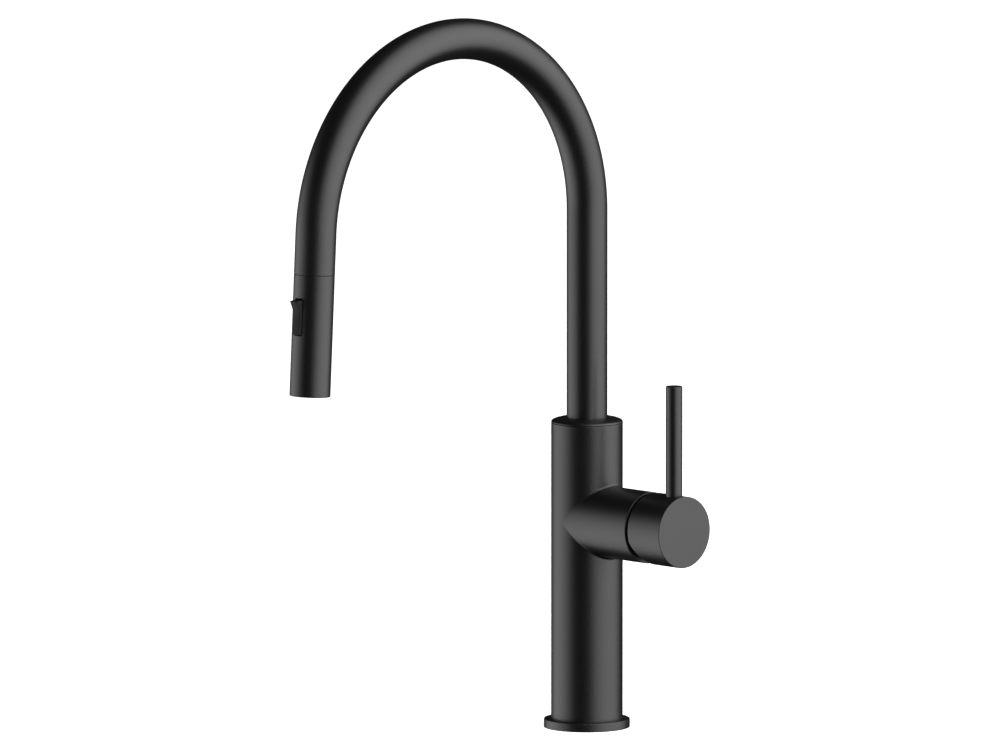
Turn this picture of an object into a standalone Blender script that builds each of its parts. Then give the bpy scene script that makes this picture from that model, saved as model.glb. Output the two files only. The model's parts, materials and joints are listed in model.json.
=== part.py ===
"""Pull down kitchen faucet: a deck mounted single lever mixer with a gooseneck spout and a docked spray head.

Metres, +Z up. The origin is the centre of the base ring's underside, on the worktop. The spout reaches
towards -Y and the lever sits on the +X side. Sizes are written in millimetres and multiplied by MM.
"""

from math import cos, radians, sin, sqrt, tan, tau

import bmesh
import bpy
from mathutils import Matrix, Vector

MM = 0.001
GAP = 0.3 * MM  # what touching pieces keep between them
FIT = 0.15 * MM  # a close running fit
PAST = 5 * MM  # how far a tool runs past the face that it opens

# The upright body and what holds it to the worktop
COLUMN_R = 22.5 * MM
COLUMN_BORE_R = 19.9 * MM
COLUMN_FOOT_Z = 2.3 * MM
COLUMN_FLOOR_Z = 14 * MM
COLUMN_TOP_Z = 192.75 * MM
RING_R = 27 * MM
RING_HEIGHT = 5.5 * MM
SHANK_R = 17 * MM
SHANK_BORE_R = 15.2 * MM
SHANK_END_Z = -50 * MM
WORKTOP = 30 * MM
WASHER_R = 26.5 * MM
RUBBER_WASHER = 3 * MM
STEEL_WASHER = 2.2 * MM
NUT_FLATS = 50 * MM
NUT_DROP = 14 * MM  # from the worktop's underside to the nut's
SCREW_R = 2.5 * MM  # the clamp screws and the grub screw are both M5
SCREW_CIRCLE_R = 22.2 * MM
SCREW_HEAD_R = 4 * MM
SCREW_HEAD = 3 * MM
SCREW_PROUD = 4 * MM  # how far a screw stands out of the nut, up to its head

# What the spout turns in at the column's top
SLEEVE_FOOT_Z = 152.5 * MM
SLEEVE_BORE_R = 15.3 * MM
SNAP_RING_Z = 157.6 * MM, 159.4 * MM
LOWER_BUSH_Z = 160 * MM, 168 * MM
ORING_Z = 174 * MM, 177 * MM
UPPER_BUSH_Z = 182 * MM
COLLAR_TOP_Z = 195.9 * MM

# The lever and its cartridge, along +X at this height
LEVER_Z = 131.5 * MM
BRANCH_BORE_R = 19.2 * MM
BRANCH_END_X = 57 * MM
SEAT_X = 19.7 * MM
CARTRIDGE_R = 17.5 * MM
CARTRIDGE_END_X = 46 * MM
TILT_X = 38 * MM  # the axis that the lever tilts about
STEM_PIN_R = 1.25 * MM
NUT_END_X = 52.5 * MM
NUT_BORE_R = 13 * MM
TRIM_SHOULDER_X = 56.4 * MM
TRIM_END_X = 57.4 * MM
TRIM_BORE_R = 15.5 * MM
CAP_BACK_X = 59.3 * MM
CAP_FRONT_X = 87.3 * MM
CAP_BORE_R = 20.8 * MM
RELIEF_START = 7 * MM  # how far below the cap's axis its rear edge starts to lean away
RELIEF_ANGLE = radians(22)
PIN_X = 77.9 * MM
PIN_R = 5.25 * MM
PIN_TOP_Z = 222.9 * MM
PIN_DEPTH = 7 * MM  # how far above the cap's axis the pin ends
GRUB_SCREW_END = 16 * MM  # how far below the cap's axis the grub screw's outer end lies
STEM_SQUARE = 6.4 * MM

# The spout: up the Z axis, round an arc towards -Y, and a short straight end
TUBE_R = 12.8 * MM
TUBE_BORE_R = 11.6 * MM
TUBE_FOOT_Z = 156 * MM
SPRING_Z = 326.8 * MM
ARC_R = 117.65 * MM
ARC_SWEEP = radians(177)
STRAIGHT_END = 25.3 * MM
ARC_STEPS = 28
TUBE_SIDES = 20

# The dock in its end, measured back from the seam with the head
DOCK_WAY_R = 8.3 * MM
DOCK_LENGTH = 24 * MM
MAGNET_BACK = 8 * MM
MAGNET_FRONT = 1 * MM

# The hose inside it, and the supply pipes beside the hose
HOSE_R = 6 * MM
HOSE_SIDES = 10
HOSE_BELOW = 6 * MM  # how far it hangs under the shank
PLUG_R, PLUG_LENGTH = 4.6 * MM, 10 * MM
CONNECTOR_R, CONNECTOR_LENGTH = 7 * MM, 8 * MM
FERRULE_R = 7 * MM
FERRULE_START, FERRULE_END = -16 * MM, 1 * MM  # from the seam with the head
PIPE_R = 3.5 * MM
PIPE_BORE_R = 2.6 * MM
PIPE_CIRCLE_R = 11.3 * MM
PIPE_BELOW = 4 * MM
PIPE_ANGLES = {"cold_inlet_pipe": radians(-50), "outlet_pipe": 0.0, "hot_inlet_pipe": radians(50)}

# The spray head, measured down its own axis from the seam with the spout
HEAD_LENGTH = 76 * MM
HEAD_BORE_R = 11.5 * MM
SLOT_START, SLOT_END = 14.4 * MM, 38 * MM
SLOT_WIDTH = 7 * MM
TOGGLE_WIDTH = 6.3 * MM
TOGGLE_PIVOT = (26.5 * MM, 8 * MM)  # down the head, and out from its axis
TOGGLE_PIN_R = 1 * MM
SPOOL_OFFSET = 2.5 * MM
CORE_START, CORE_END = 2.5 * MM, 62 * MM
KEEPER_BORE_R = 9.2 * MM
KEEPER_END = 2.2 * MM
MAT_START, MAT_END = 64.7 * MM, 69 * MM
FACE_BORE_R, FACE_END = 6.2 * MM, 75 * MM
AERATOR_R, AERATOR_BORE_R, AERATOR_END = 5.9 * MM, 3.4 * MM, 75.2 * MM

UPRIGHT = Matrix()
LEVER = Matrix.Translation((0, 0, LEVER_Z)) @ Matrix.Rotation(radians(90), 4, "Y")


def spout_frame(sweep, beyond=0.0):
    """The frame at this angle round the arc: local Z runs along the tube and local Y points outwards."""
    centre = Vector((0, ARC_R * (cos(sweep) - 1), SPRING_Z + ARC_R * sin(sweep)))
    turn = Matrix.Rotation(sweep, 4, "X")
    return Matrix.Translation(centre) @ turn @ Matrix.Translation((0, 0, beyond))


HEAD = spout_frame(ARC_SWEEP, STRAIGHT_END)


def clear_scene():
    for old in list(bpy.data.objects):
        bpy.data.objects.remove(old, do_unlink=True)


def finish(name, colour, roughness, metallic=0.0):
    material = bpy.data.materials.new(name)
    material.use_nodes = True
    shader = material.node_tree.nodes["Principled BSDF"]
    shader.inputs["Base Color"].default_value = (*colour, 1)
    shader.inputs["Roughness"].default_value = roughness
    shader.inputs["Metallic"].default_value = metallic
    return material


def place_object(name, mesh_data, material, frame):
    if material:
        mesh_data.materials.append(material)
    piece = bpy.data.objects.new(name, mesh_data)
    piece.matrix_world = frame
    bpy.context.scene.collection.objects.link(piece)
    return piece


def solid(name, mesh, material, frame=UPRIGHT):
    """Turns a bmesh into a placed object with its faces pointing out."""
    bmesh.ops.recalc_face_normals(mesh, faces=mesh.faces)
    data = bpy.data.meshes.new(name)
    mesh.to_mesh(data)
    mesh.free()
    piece = place_object(name, data, material, frame)
    data.shade_smooth()
    data.set_sharp_from_angle(angle=radians(35))
    return piece


def turned(name, outline, material, frame=UPRIGHT, sides=24):
    """A turned piece: a closed outline of (radius, height) spun about the local Z axis."""
    mesh = bmesh.new()
    points = [mesh.verts.new((radius, 0, height)) for radius, height in outline]
    for start, end in zip(points, points[1:] + points[:1]):
        if start.co.x or end.co.x:
            mesh.edges.new((start, end))
    bmesh.ops.spin(mesh, geom=mesh.verts[:] + mesh.edges[:], cent=(0, 0, 0), axis=(0, 0, 1),
                   angle=tau, steps=sides, use_merge=True)
    bmesh.ops.remove_doubles(mesh, verts=mesh.verts, dist=1e-7)
    return solid(name, mesh, material, frame)


def ring(name, outer, inner, low, high, material, frame=UPRIGHT, sides=24):
    outline = [(inner, low), (outer, low), (outer, high), (inner, high)]
    return turned(name, outline, material, frame, sides)


def rod(name, radius, low, high, material, frame=UPRIGHT, sides=24):
    return turned(name, [(0, low), (radius, low), (radius, high), (0, high)], material, frame, sides)


def prism(name, outline, width, material, frame=UPRIGHT):
    """An outline of (z, y) points, extruded by width along X and centred on X = 0."""
    mesh = bmesh.new()
    face = mesh.faces.new([mesh.verts.new((-width / 2, y, z)) for z, y in outline])
    grown = bmesh.ops.extrude_face_region(mesh, geom=[face])
    moved = [item for item in grown["geom"] if isinstance(item, bmesh.types.BMVert)]
    bmesh.ops.translate(mesh, verts=moved, vec=(width, 0, 0))
    return solid(name, mesh, material, frame)


def block(name, low, high, material=None, frame=UPRIGHT):
    corners = [(low[2], low[1]), (high[2], low[1]), (high[2], high[1]), (low[2], high[1])]
    shift = Matrix.Translation(((low[0] + high[0]) / 2, 0, 0))
    return prism(name, corners, high[0] - low[0], material, frame @ shift)


def regular(name, across_flats, flats, low, high, material, frame=UPRIGHT):
    """A bar with this many flats, such as a hexagon."""
    radius = across_flats / 2 / cos(tau / flats / 2)
    return rod(name, radius, low, high, material, frame, flats)


def combine(piece, tools, operation):
    """Cuts the tools out of a piece, or joins them to it, and keeps each as a hidden guide."""
    for tool in tools:
        boolean = piece.modifiers.new(tool.name, "BOOLEAN")
        boolean.operation = operation
        boolean.object = tool
        tool.hide_render = True
        tool.display_type = "WIRE"
    return piece


def cut(piece, *tools):
    return combine(piece, tools, "DIFFERENCE")


def join(piece, *tools):
    return combine(piece, tools, "UNION")


def swept(name, frames, outer, inner, sides, material):
    """A round bar or tube through a list of frames, whose local Z runs along it."""
    mesh = bmesh.new()

    def rings_of(radius):
        turns = [tau * i / sides for i in range(sides)]
        circle = [Vector((radius * cos(turn), radius * sin(turn), 0)) for turn in turns]
        return [[mesh.verts.new(frame @ point) for point in circle] for frame in frames]

    def bridge(first, second):
        for i in range(sides):
            j = (i + 1) % sides
            mesh.faces.new((first[i], first[j], second[j], second[i]))

    walls = [rings_of(outer)] + ([rings_of(inner)] if inner else [])
    for wall in walls:
        for first, second in zip(wall, wall[1:]):
            bridge(first, second)
    for end in (0, -1):
        if inner:
            bridge(walls[0][end], walls[1][end])
        else:
            mesh.faces.new(walls[0][end])
    return solid(name, mesh, material)


def arc_frames():
    return [spout_frame(ARC_SWEEP * i / ARC_STEPS) for i in range(ARC_STEPS + 1)]


# The body and its fixing to the worktop


def make_base(black, rubber):
    """The flange ring that the column stands in, and the gasket in the groove under it."""
    ledge_r, groove_in, groove_out, groove_top = 17.5 * MM, 19 * MM, 25 * MM, 1.4 * MM
    ring_bore, ledge_top, edge = 22.8 * MM, 2 * MM, 0.4 * MM
    turned("base_ring", [
        (ledge_r, 0), (groove_in, 0), (groove_in, groove_top), (groove_out, groove_top), (groove_out, 0),
        (RING_R - edge, 0), (RING_R, edge), (RING_R, RING_HEIGHT - edge), (RING_R - edge, RING_HEIGHT),
        (ring_bore, RING_HEIGHT), (ring_bore, ledge_top), (ledge_r, ledge_top),
    ], black, sides=44)
    ring("deck_gasket", groove_out - GAP, groove_in + GAP, 0, groove_top - GAP, rubber)


def make_body_shell(black):
    """The column with its side branch: one casting, bored from the top and from the branch's mouth."""
    edge = 0.4 * MM
    shell = turned("body_shell", [
        (0, COLUMN_FOOT_Z), (COLUMN_R, COLUMN_FOOT_Z), (COLUMN_R, COLUMN_TOP_Z), (0, COLUMN_TOP_Z),
    ], black, sides=56)
    branch = turned("branch_form", [
        (0, 0), (COLUMN_R, 0), (COLUMN_R, BRANCH_END_X - edge), (COLUMN_R - edge, BRANCH_END_X),
        (0, BRANCH_END_X),
    ], None, LEVER, sides=56)
    join(shell, branch)
    column_bore = rod("column_bore", COLUMN_BORE_R, COLUMN_FLOOR_Z, COLUMN_TOP_Z + PAST, None, sides=40)
    shank_hole = rod("shank_hole", SHANK_R + GAP, -PAST, COLUMN_FLOOR_Z + PAST, None)
    branch_bore = rod("branch_bore", BRANCH_BORE_R, 0, BRANCH_END_X + PAST, None, LEVER, 36)
    cut(shell, column_bore, shank_hole, branch_bore)


def make_shank(brass, rubber, steel):
    """The threaded shank under the worktop, with its washers, lock nut and two tightening screws."""
    nut_low = -WORKTOP - NUT_DROP
    washer_z = -WORKTOP - RUBBER_WASHER
    plate_z = washer_z - STEEL_WASHER
    head_top = nut_low - SCREW_PROUD
    ring("threaded_shank", SHANK_R, SHANK_BORE_R, SHANK_END_Z, COLUMN_FLOOR_Z - GAP, brass)
    hole = SHANK_R + GAP
    ring("rubber_washer", WASHER_R, hole, washer_z, -WORKTOP, rubber)
    ring("steel_washer", WASHER_R, hole, plate_z, washer_z - GAP, steel)
    nut = regular("lock_nut", NUT_FLATS, 6, nut_low, plate_z - GAP, brass)
    bore = rod("nut_bore", hole, nut_low - PAST, -WORKTOP, None)
    cut(nut, bore)
    for side, name in ((1, "clamp_screw_front"), (-1, "clamp_screw_back")):
        frame = Matrix.Translation((0, -side * SCREW_CIRCLE_R, 0))
        cut(nut, rod(name + "_hole", SCREW_R + FIT, nut_low - PAST, -WORKTOP, None, frame, 16))
        turned(name, [
            (0, head_top - SCREW_HEAD), (SCREW_HEAD_R, head_top - SCREW_HEAD), (SCREW_HEAD_R, head_top),
            (SCREW_R, head_top), (SCREW_R, plate_z - GAP), (0, plate_z - GAP),
        ], steel, frame, 16)


def make_swivel(brass, nylon, rubber, steel):
    """What the spout turns in: a sleeve in the column's top, two bushes, a friction ring and a snap ring."""
    ring("swivel_sleeve", COLUMN_BORE_R - GAP, SLEEVE_BORE_R, SLEEVE_FOOT_Z, COLUMN_TOP_Z, brass)
    inner, outer = TUBE_R + FIT, SLEEVE_BORE_R - FIT
    ring("lower_bush", outer, inner, *LOWER_BUSH_Z, nylon, sides=28)
    ring("upper_bush", outer, inner, UPPER_BUSH_Z, COLUMN_TOP_Z - GAP, nylon, sides=28)
    ring("swivel_oring", outer, inner, *ORING_Z, rubber, sides=28)
    ring("snap_ring", outer - GAP, inner, *SNAP_RING_Z, steel, sides=28)


def pipe_place(angle):
    return Matrix.Translation((PIPE_CIRCLE_R * cos(angle), PIPE_CIRCLE_R * sin(angle), 0))


def make_waterway(brass, copper):
    """The valve block inside the column, and the three pipes that run down from it through the shank."""
    low, high = LEVER_Z - 20 * MM, LEVER_Z + 19.5 * MM
    notch_r, clear_x = HOSE_R + 0.9 * MM, 2 * MM
    port_top, passage_r = low + 7 * MM, 2.4 * MM
    inlet_rise, outlet_rise, over = -6 * MM, 8 * MM, 1.3 * MM
    wide = COLUMN_BORE_R + PAST
    body = rod("valve_block", COLUMN_BORE_R - GAP, low, high, brass, sides=40)
    join(body, rod("seat_disc", BRANCH_BORE_R - GAP, SEAT_X - 2 * PAST, SEAT_X + PAST, None, LEVER, 36))
    cut(body, block("block_back", (-wide, -wide, low - MM), (clear_x, wide, high + MM)))
    cut(body, rod("hose_way", notch_r, low - MM, high + MM, None, sides=24))
    # The flat seat for the cartridge trims the block's front.
    cut(body, block("seat_plane", (SEAT_X, -wide, low - MM), (SEAT_X + 2 * PAST, wide, high + MM)))
    for name, angle in PIPE_ANGLES.items():
        frame = pipe_place(angle)
        ring(name, PIPE_R, PIPE_BORE_R, SHANK_END_Z - PIPE_BELOW, port_top - GAP, copper, frame, 16)
        cut(body, rod(name + "_port", PIPE_R + FIT, low - MM, port_top, None, frame, 16))
        turn_z = LEVER_Z + (outlet_rise if name == "outlet_pipe" else inlet_rise)
        cut(body, rod(name + "_rise", passage_r, port_top - MM, turn_z + over, None, frame, 12))
        run = Matrix.Translation((0, frame.translation.y, turn_z)) @ Matrix.Rotation(radians(90), 4, "Y")
        cut(body, rod(name + "_run", passage_r, frame.translation.x - MM, SEAT_X + MM, None, run, 12))


# The cartridge and the lever


def stem_pin_frame():
    """The frame of the pin that the stem tilts on: local Z lies along it, across the branch."""
    return LEVER @ Matrix.Translation((0, 0, TILT_X)) @ Matrix.Rotation(radians(90), 4, "X")


def make_cartridge(plastic, ceramic, brass, steel):
    """A 35 mm ceramic cartridge: base, two discs, carrier, rotor and housing, with its nut and trim ring."""
    base_low, base_high, base_bore = SEAT_X + GAP, SEAT_X + 3 * MM, 9 * MM
    housing_bore, neck_r = 15.6 * MM, 11 * MM
    shoulder_x = CARTRIDGE_END_X - 2.4 * MM
    fixed_r, moving_r, disc, port_r = 15.3 * MM, 11 * MM, 2.2 * MM, 3 * MM
    ring("cartridge_base", CARTRIDGE_R, base_bore, base_low, base_high, plastic, LEVER)
    turned("cartridge_housing", [
        (housing_bore, base_high + GAP), (CARTRIDGE_R, base_high + GAP), (CARTRIDGE_R, CARTRIDGE_END_X),
        (neck_r, CARTRIDGE_END_X), (neck_r, shoulder_x), (housing_bore, shoulder_x),
    ], plastic, LEVER)
    lower_x = base_high + GAP
    upper_x = lower_x + disc + GAP
    carrier_x = upper_x + disc + GAP
    lower = rod("fixed_disc", fixed_r, lower_x, lower_x + disc, ceramic, LEVER)
    cut(lower, rod("disc_port", port_r, lower_x - MM, lower_x + disc + MM, None, LEVER, 16))
    rod("moving_disc", moving_r, upper_x, upper_x + disc, ceramic, LEVER, 32)
    # The carrier holds the moving disc, and has a socket for the stem's round end.
    carrier_top, socket_floor = carrier_x + 2.4 * MM, carrier_x + 0.6 * MM
    carrier = rod("disc_carrier", moving_r, carrier_x, carrier_top, plastic, LEVER, 32)
    cut(carrier, rod("carrier_socket", port_r, socket_floor, carrier_top + MM, None, LEVER, 20))
    rotor_low, rotor_top = carrier_top + GAP, CARTRIDGE_END_X + 1.6 * MM
    rotor = turned("cartridge_rotor", [
        (0, rotor_low), (housing_bore - GAP, rotor_low), (housing_bore - GAP, shoulder_x - GAP),
        (neck_r - GAP, shoulder_x - GAP), (neck_r - GAP, rotor_top), (0, rotor_top),
    ], plastic, LEVER)
    # The stem tilts in a slot that runs up and down, so the local X axis of the lever frame.
    slot_half, slot_width = 9 * MM, 8.8 * MM
    cut(rotor, block("stem_slot", (-slot_half, -slot_width / 2, rotor_low - MM),
                     (slot_half, slot_width / 2, CARTRIDGE_END_X + PAST), None, LEVER))
    pin_half, across = 14 * MM, housing_bore + PAST
    cut(rotor, rod("stem_pin_hole", STEM_PIN_R + FIT, -across, across, None, stem_pin_frame(), 16))
    rod("stem_pin", STEM_PIN_R, -pin_half, pin_half, steel, stem_pin_frame(), 16)
    fit_r, nut_low, trim_low = BRANCH_BORE_R - GAP, CARTRIDGE_END_X + GAP, NUT_END_X + GAP
    ring("retaining_nut", fit_r, NUT_BORE_R, nut_low, NUT_END_X, brass, LEVER)
    turned("trim_ring", [
        (TRIM_BORE_R, trim_low), (fit_r, trim_low), (fit_r, TRIM_SHOULDER_X), (CARTRIDGE_R, TRIM_END_X),
        (TRIM_BORE_R, TRIM_END_X),
    ], brass, LEVER)
    return carrier_x


def make_stem(steel, carrier_x):
    """The stem through the rotor: round end in the carrier, pin hole on the tilt axis, square front end."""
    neck_r, round_r, chamfer = 2.4 * MM, 4 * MM, 0.5 * MM
    low, shoulder, square_x, end_x = carrier_x + 1.2 * MM, TILT_X - 5 * MM, 62 * MM, CAP_FRONT_X - 6 * MM
    stem = turned("cartridge_stem", [
        (0, low), (neck_r - chamfer, low), (neck_r, low + chamfer), (neck_r, shoulder),
        (round_r, shoulder + round_r - neck_r), (round_r, square_x), (0, square_x),
    ], steel, LEVER, 24)
    half = STEM_SQUARE / 2
    join(stem, block("stem_square", (-half, -half, square_x - 2 * MM), (half, half, end_x), None, LEVER))
    across = round_r + PAST
    cut(stem, rod("stem_eye", STEM_PIN_R + FIT, -across, across, None, stem_pin_frame(), 16))


def make_lever(black, steel):
    """The cap that covers the cartridge, the straight pin lever in its top, and the grub screw under it."""
    edge, web_x, end_wall_x, boss_r = 0.4 * MM, 70 * MM, CAP_FRONT_X - 3.5 * MM, 9 * MM
    cap = turned("lever_cap", [
        (CAP_BORE_R, CAP_BACK_X), (COLUMN_R, CAP_BACK_X), (COLUMN_R, CAP_FRONT_X - edge),
        (COLUMN_R - edge, CAP_FRONT_X), (0, CAP_FRONT_X), (0, web_x), (boss_r, web_x), (boss_r, end_wall_x),
        (CAP_BORE_R, end_wall_x),
    ], black, LEVER, 48)
    pin_place = Matrix.Translation((PIN_X, 0, LEVER_Z))
    screw_place = Matrix.Translation((PIN_X - 1.5 * MM, 0, LEVER_Z))
    pin_boss_r, screw_boss_r, boss_foot, boss_reach = 7.8 * MM, 5 * MM, 4 * MM, CAP_BORE_R + 0.6 * MM
    outside = COLUMN_R + PAST
    pin_boss = rod("pin_boss", pin_boss_r, boss_foot, boss_reach, None, pin_place, 24)
    screw_boss = rod("screw_boss", screw_boss_r, -boss_reach, -boss_foot, None, screw_place, 20)
    join(cap, pin_boss, screw_boss)
    pin_hole = rod("pin_hole", PIN_R + FIT, PIN_DEPTH - GAP, outside, None, pin_place, 24)
    screw_hole = rod("screw_hole", SCREW_R + FIT, -outside, 0, None, screw_place, 16)
    half = STEM_SQUARE / 2 + GAP
    socket_end = CAP_FRONT_X - 5.5 * MM
    socket = block("stem_socket", (-half, -half, web_x - PAST), (half, half, socket_end), None, LEVER)
    # The relief leans the lower rear edge away from the branch, so that the cap can tilt.
    reach, wide = 40 * MM, 60 * MM
    run = reach * tan(RELIEF_ANGLE)
    relief = prism("relief", [
        (-RELIEF_START, CAP_BACK_X), (-RELIEF_START - reach, CAP_BACK_X + run),
        (-RELIEF_START - reach, CAP_BACK_X - reach), (-RELIEF_START, CAP_BACK_X - reach),
    ], wide, None, Matrix.Translation((0, 0, LEVER_Z)) @ Matrix.Rotation(radians(-90), 4, "Z"))
    cut(cap, pin_hole, screw_hole, socket, relief)
    pin_edge = 0.4 * MM
    top = PIN_TOP_Z - LEVER_Z
    turned("lever_pin", [
        (0, PIN_DEPTH), (PIN_R, PIN_DEPTH), (PIN_R, top - pin_edge), (PIN_R - pin_edge, top), (0, top),
    ], black, pin_place, 28)
    rod("grub_screw", SCREW_R, -GRUB_SCREW_END, -half, steel, screw_place, 16)


# The spout, the hose in it, and the spray head


def make_spout(black, nylon, magnet):
    """The gooseneck tube, the collar at its foot, and the dock in its open end."""
    tube_end = spout_frame(ARC_SWEEP, STRAIGHT_END - GAP)
    foot = Matrix.Translation((0, 0, TUBE_FOOT_Z))
    swept("spout_tube", [foot, *arc_frames(), tube_end], TUBE_R, TUBE_BORE_R, TUBE_SIDES, black)
    low, hole, rim = COLUMN_TOP_Z + FIT, TUBE_R + FIT, 0.3 * MM
    # The collar rises in a shallow quarter ellipse from the column's edge to the tube.
    rise, span, steps = COLLAR_TOP_Z - low - rim, COLUMN_R - hole, 3
    shares = [i / steps for i in range(steps + 1)]
    dome = [(hole + span * sqrt(1 - share**2), low + rim + rise * share) for share in shares]
    turned("spout_collar", [(hole, low), (COLUMN_R, low), *dome], black, sides=40)
    dock_r = TUBE_BORE_R - GAP
    ring("dock_ring", dock_r, DOCK_WAY_R, -DOCK_LENGTH, -MAGNET_BACK, nylon, HEAD, 28)
    ring("dock_magnet", dock_r, DOCK_WAY_R, GAP - MAGNET_BACK, -MAGNET_FRONT, magnet, HEAD, 28)


def make_hose(braid, brass, steel, rubber):
    """The spray hose along the spout's middle, with the connector below and the swivel fitting in the head."""
    hose_low = SHANK_END_Z - HOSE_BELOW
    start = Matrix.Translation((0, 0, hose_low))
    end = HEAD @ Matrix.Translation((0, 0, FERRULE_START - GAP))
    swept("spray_hose", [start, *arc_frames()[::2], end], HOSE_R, None, HOSE_SIDES, braid)
    top = hose_low - GAP
    step = top - CONNECTOR_LENGTH
    turned("hose_connector", [
        (0, step - PLUG_LENGTH), (PLUG_R, step - PLUG_LENGTH), (PLUG_R, step), (CONNECTOR_R, step),
        (CONNECTOR_R, top), (0, top),
    ], brass, sides=20)
    rod("hose_ferrule", FERRULE_R, FERRULE_START, FERRULE_END, steel, HEAD, 24)
    flange_r, nose_r, groove_r = 8 * MM, 4.4 * MM, 3.4 * MM
    low, flange_top, nose_end = FERRULE_END + GAP, 5 * MM, 10.5 * MM
    groove_low, groove_high, play = 7 * MM, 9 * MM, 0.2 * MM
    turned("swivel_fitting", [
        (0, low), (flange_r, low), (flange_r, flange_top), (nose_r, flange_top), (nose_r, groove_low),
        (groove_r, groove_low), (groove_r, groove_high), (nose_r, groove_high), (nose_r, nose_end),
        (0, nose_end),
    ], brass, HEAD, 24)
    seal_low, seal_high = groove_low + play, groove_high - play
    ring("fitting_oring", nose_r + GAP, groove_r + play, seal_low, seal_high, rubber, HEAD, 24)


def make_head_shell(black):
    """The head's outer sleeve, with the slot for the toggle on the side away from the column."""
    edge = 0.25 * MM
    shell = turned("head_shell", [
        (HEAD_BORE_R, 0), (TUBE_R - edge, 0), (TUBE_R, edge), (TUBE_R, HEAD_LENGTH - edge),
        (TUBE_R - edge, HEAD_LENGTH), (HEAD_BORE_R, HEAD_LENGTH),
    ], black, HEAD, 32)
    half = SLOT_WIDTH / 2
    outside = TUBE_R + PAST
    cut(shell, block("toggle_slot", (-half, PAST, SLOT_START), (half, outside, SLOT_END), None, HEAD))


def make_head_inside(plastic, magnet, steel, rubber, silicone):
    """The head's waterway core, its magnet keeper, check valve, and the spray face with its parts."""
    core_r, recess_floor, outside = HEAD_BORE_R - GAP, 5.5 * MM, TUBE_R + PAST
    fitting_bore_r, bore_end, passage_r, passage_start = 4.9 * MM, 13 * MM, 2.6 * MM, 11 * MM
    pocket_floor, pocket_half, spool_way_r, spool_way_start = 4.3 * MM, 4.4 * MM, 2.5 * MM, 16 * MM
    pin_half, oring_bore = 6.2 * MM, 8 * MM
    core = turned("head_core", [
        (KEEPER_BORE_R, CORE_START), (core_r, CORE_START), (core_r, CORE_END), (0, CORE_END),
        (0, recess_floor), (KEEPER_BORE_R, recess_floor),
    ], plastic, HEAD)
    passage = Matrix.Translation((0, -recess_floor, 0))
    spool_way = Matrix.Translation((0, SPOOL_OFFSET, 0))
    cut(
        core,
        rod("fitting_bore", fitting_bore_r, CORE_START, bore_end, None, HEAD, 24),
        rod("water_passage", passage_r, passage_start, CORE_END + MM, None, HEAD @ passage, 16),
        block("toggle_pocket", (-pocket_half, pocket_floor, SLOT_START - MM),
              (pocket_half, outside, SLOT_END + MM), None, HEAD),
        rod("spool_way", spool_way_r, spool_way_start, CORE_END + MM, None, HEAD @ spool_way, 16),
        rod("toggle_pin_hole", TOGGLE_PIN_R + FIT, -outside, outside, None, toggle_axis(), 16),
    )
    ring("keeper_ring", core_r, KEEPER_BORE_R, GAP, KEEPER_END, magnet, HEAD, 28)
    rod("toggle_pin", TOGGLE_PIN_R, -pin_half, pin_half, steel, toggle_axis(), 16)
    valve_r, valve_bore, valve_start = fitting_bore_r - GAP, 2 * MM, 10.8 * MM
    ring("check_valve", valve_r, valve_bore, valve_start, bore_end - GAP, plastic, HEAD, 24)
    ring("core_oring", core_r, oring_bore, CORE_END + GAP, MAT_START - GAP, rubber, HEAD, 28)
    ring("nozzle_mat", core_r - GAP, FACE_BORE_R, MAT_START, MAT_END, silicone, HEAD, 32)
    ring("spray_face", core_r, FACE_BORE_R, MAT_END + GAP, FACE_END, plastic, HEAD, 32)
    ring("aerator", AERATOR_R, AERATOR_BORE_R, MAT_START, AERATOR_END, plastic, HEAD, 24)


def toggle_axis():
    """The frame of the toggle's pin: local Z lies along the pin, which runs across the head."""
    down, out = TOGGLE_PIVOT
    return HEAD @ Matrix.Translation((0, out, down)) @ Matrix.Rotation(radians(90), 4, "Y")


def make_toggle(toggle_black, plastic):
    """The rocker that picks spray or stream, and the spool that its tail moves."""
    pivot_z, pivot_out = TOGGLE_PIVOT
    back, skin = pivot_out - 2 * MM, TUBE_R
    tail_half, tail_tip, tail_width = 1.4 * MM, SPOOL_OFFSET + 1.5 * MM, 2.8 * MM
    outline = [
        (15.6 * MM, pivot_out + 0.6 * MM), (15.5 * MM, skin + 0.3 * MM), (16.3 * MM, skin + 4.4 * MM),
        (19 * MM, skin + 3.4 * MM), (21.6 * MM, skin + 2.2 * MM), (24.4 * MM, skin + 1.6 * MM),
        (30 * MM, skin + 1.5 * MM), (37.3 * MM, skin + 1.7 * MM), (37.3 * MM, pivot_out + 0.6 * MM),
        (30.5 * MM, back), (22.5 * MM, back),
    ]
    toggle = prism("spray_toggle", outline, TOGGLE_WIDTH, toggle_black, HEAD)
    join(toggle, block("toggle_tail", (-tail_width / 2, tail_tip, pivot_z - tail_half),
                       (tail_width / 2, back + MM, pivot_z + tail_half), None, HEAD))
    across = TOGGLE_WIDTH / 2 + PAST
    cut(toggle, rod("toggle_eye", TOGGLE_PIN_R + FIT, -across, across, None, toggle_axis(), 16))
    groove = tail_half + 0.35 * MM
    neck_start, neck_end, neck_r, spool_r = pivot_z - groove, pivot_z + groove, 1.1 * MM, 2.3 * MM
    spool_start, spool_end = neck_start - 6 * MM, 58 * MM
    turned("diverter_spool", [
        (0, spool_start), (spool_r, spool_start), (spool_r, neck_start), (neck_r, neck_start),
        (neck_r, neck_end), (spool_r, neck_end), (spool_r, spool_end), (0, spool_end),
    ], plastic, HEAD @ Matrix.Translation((0, SPOOL_OFFSET, 0)), 16)


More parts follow.
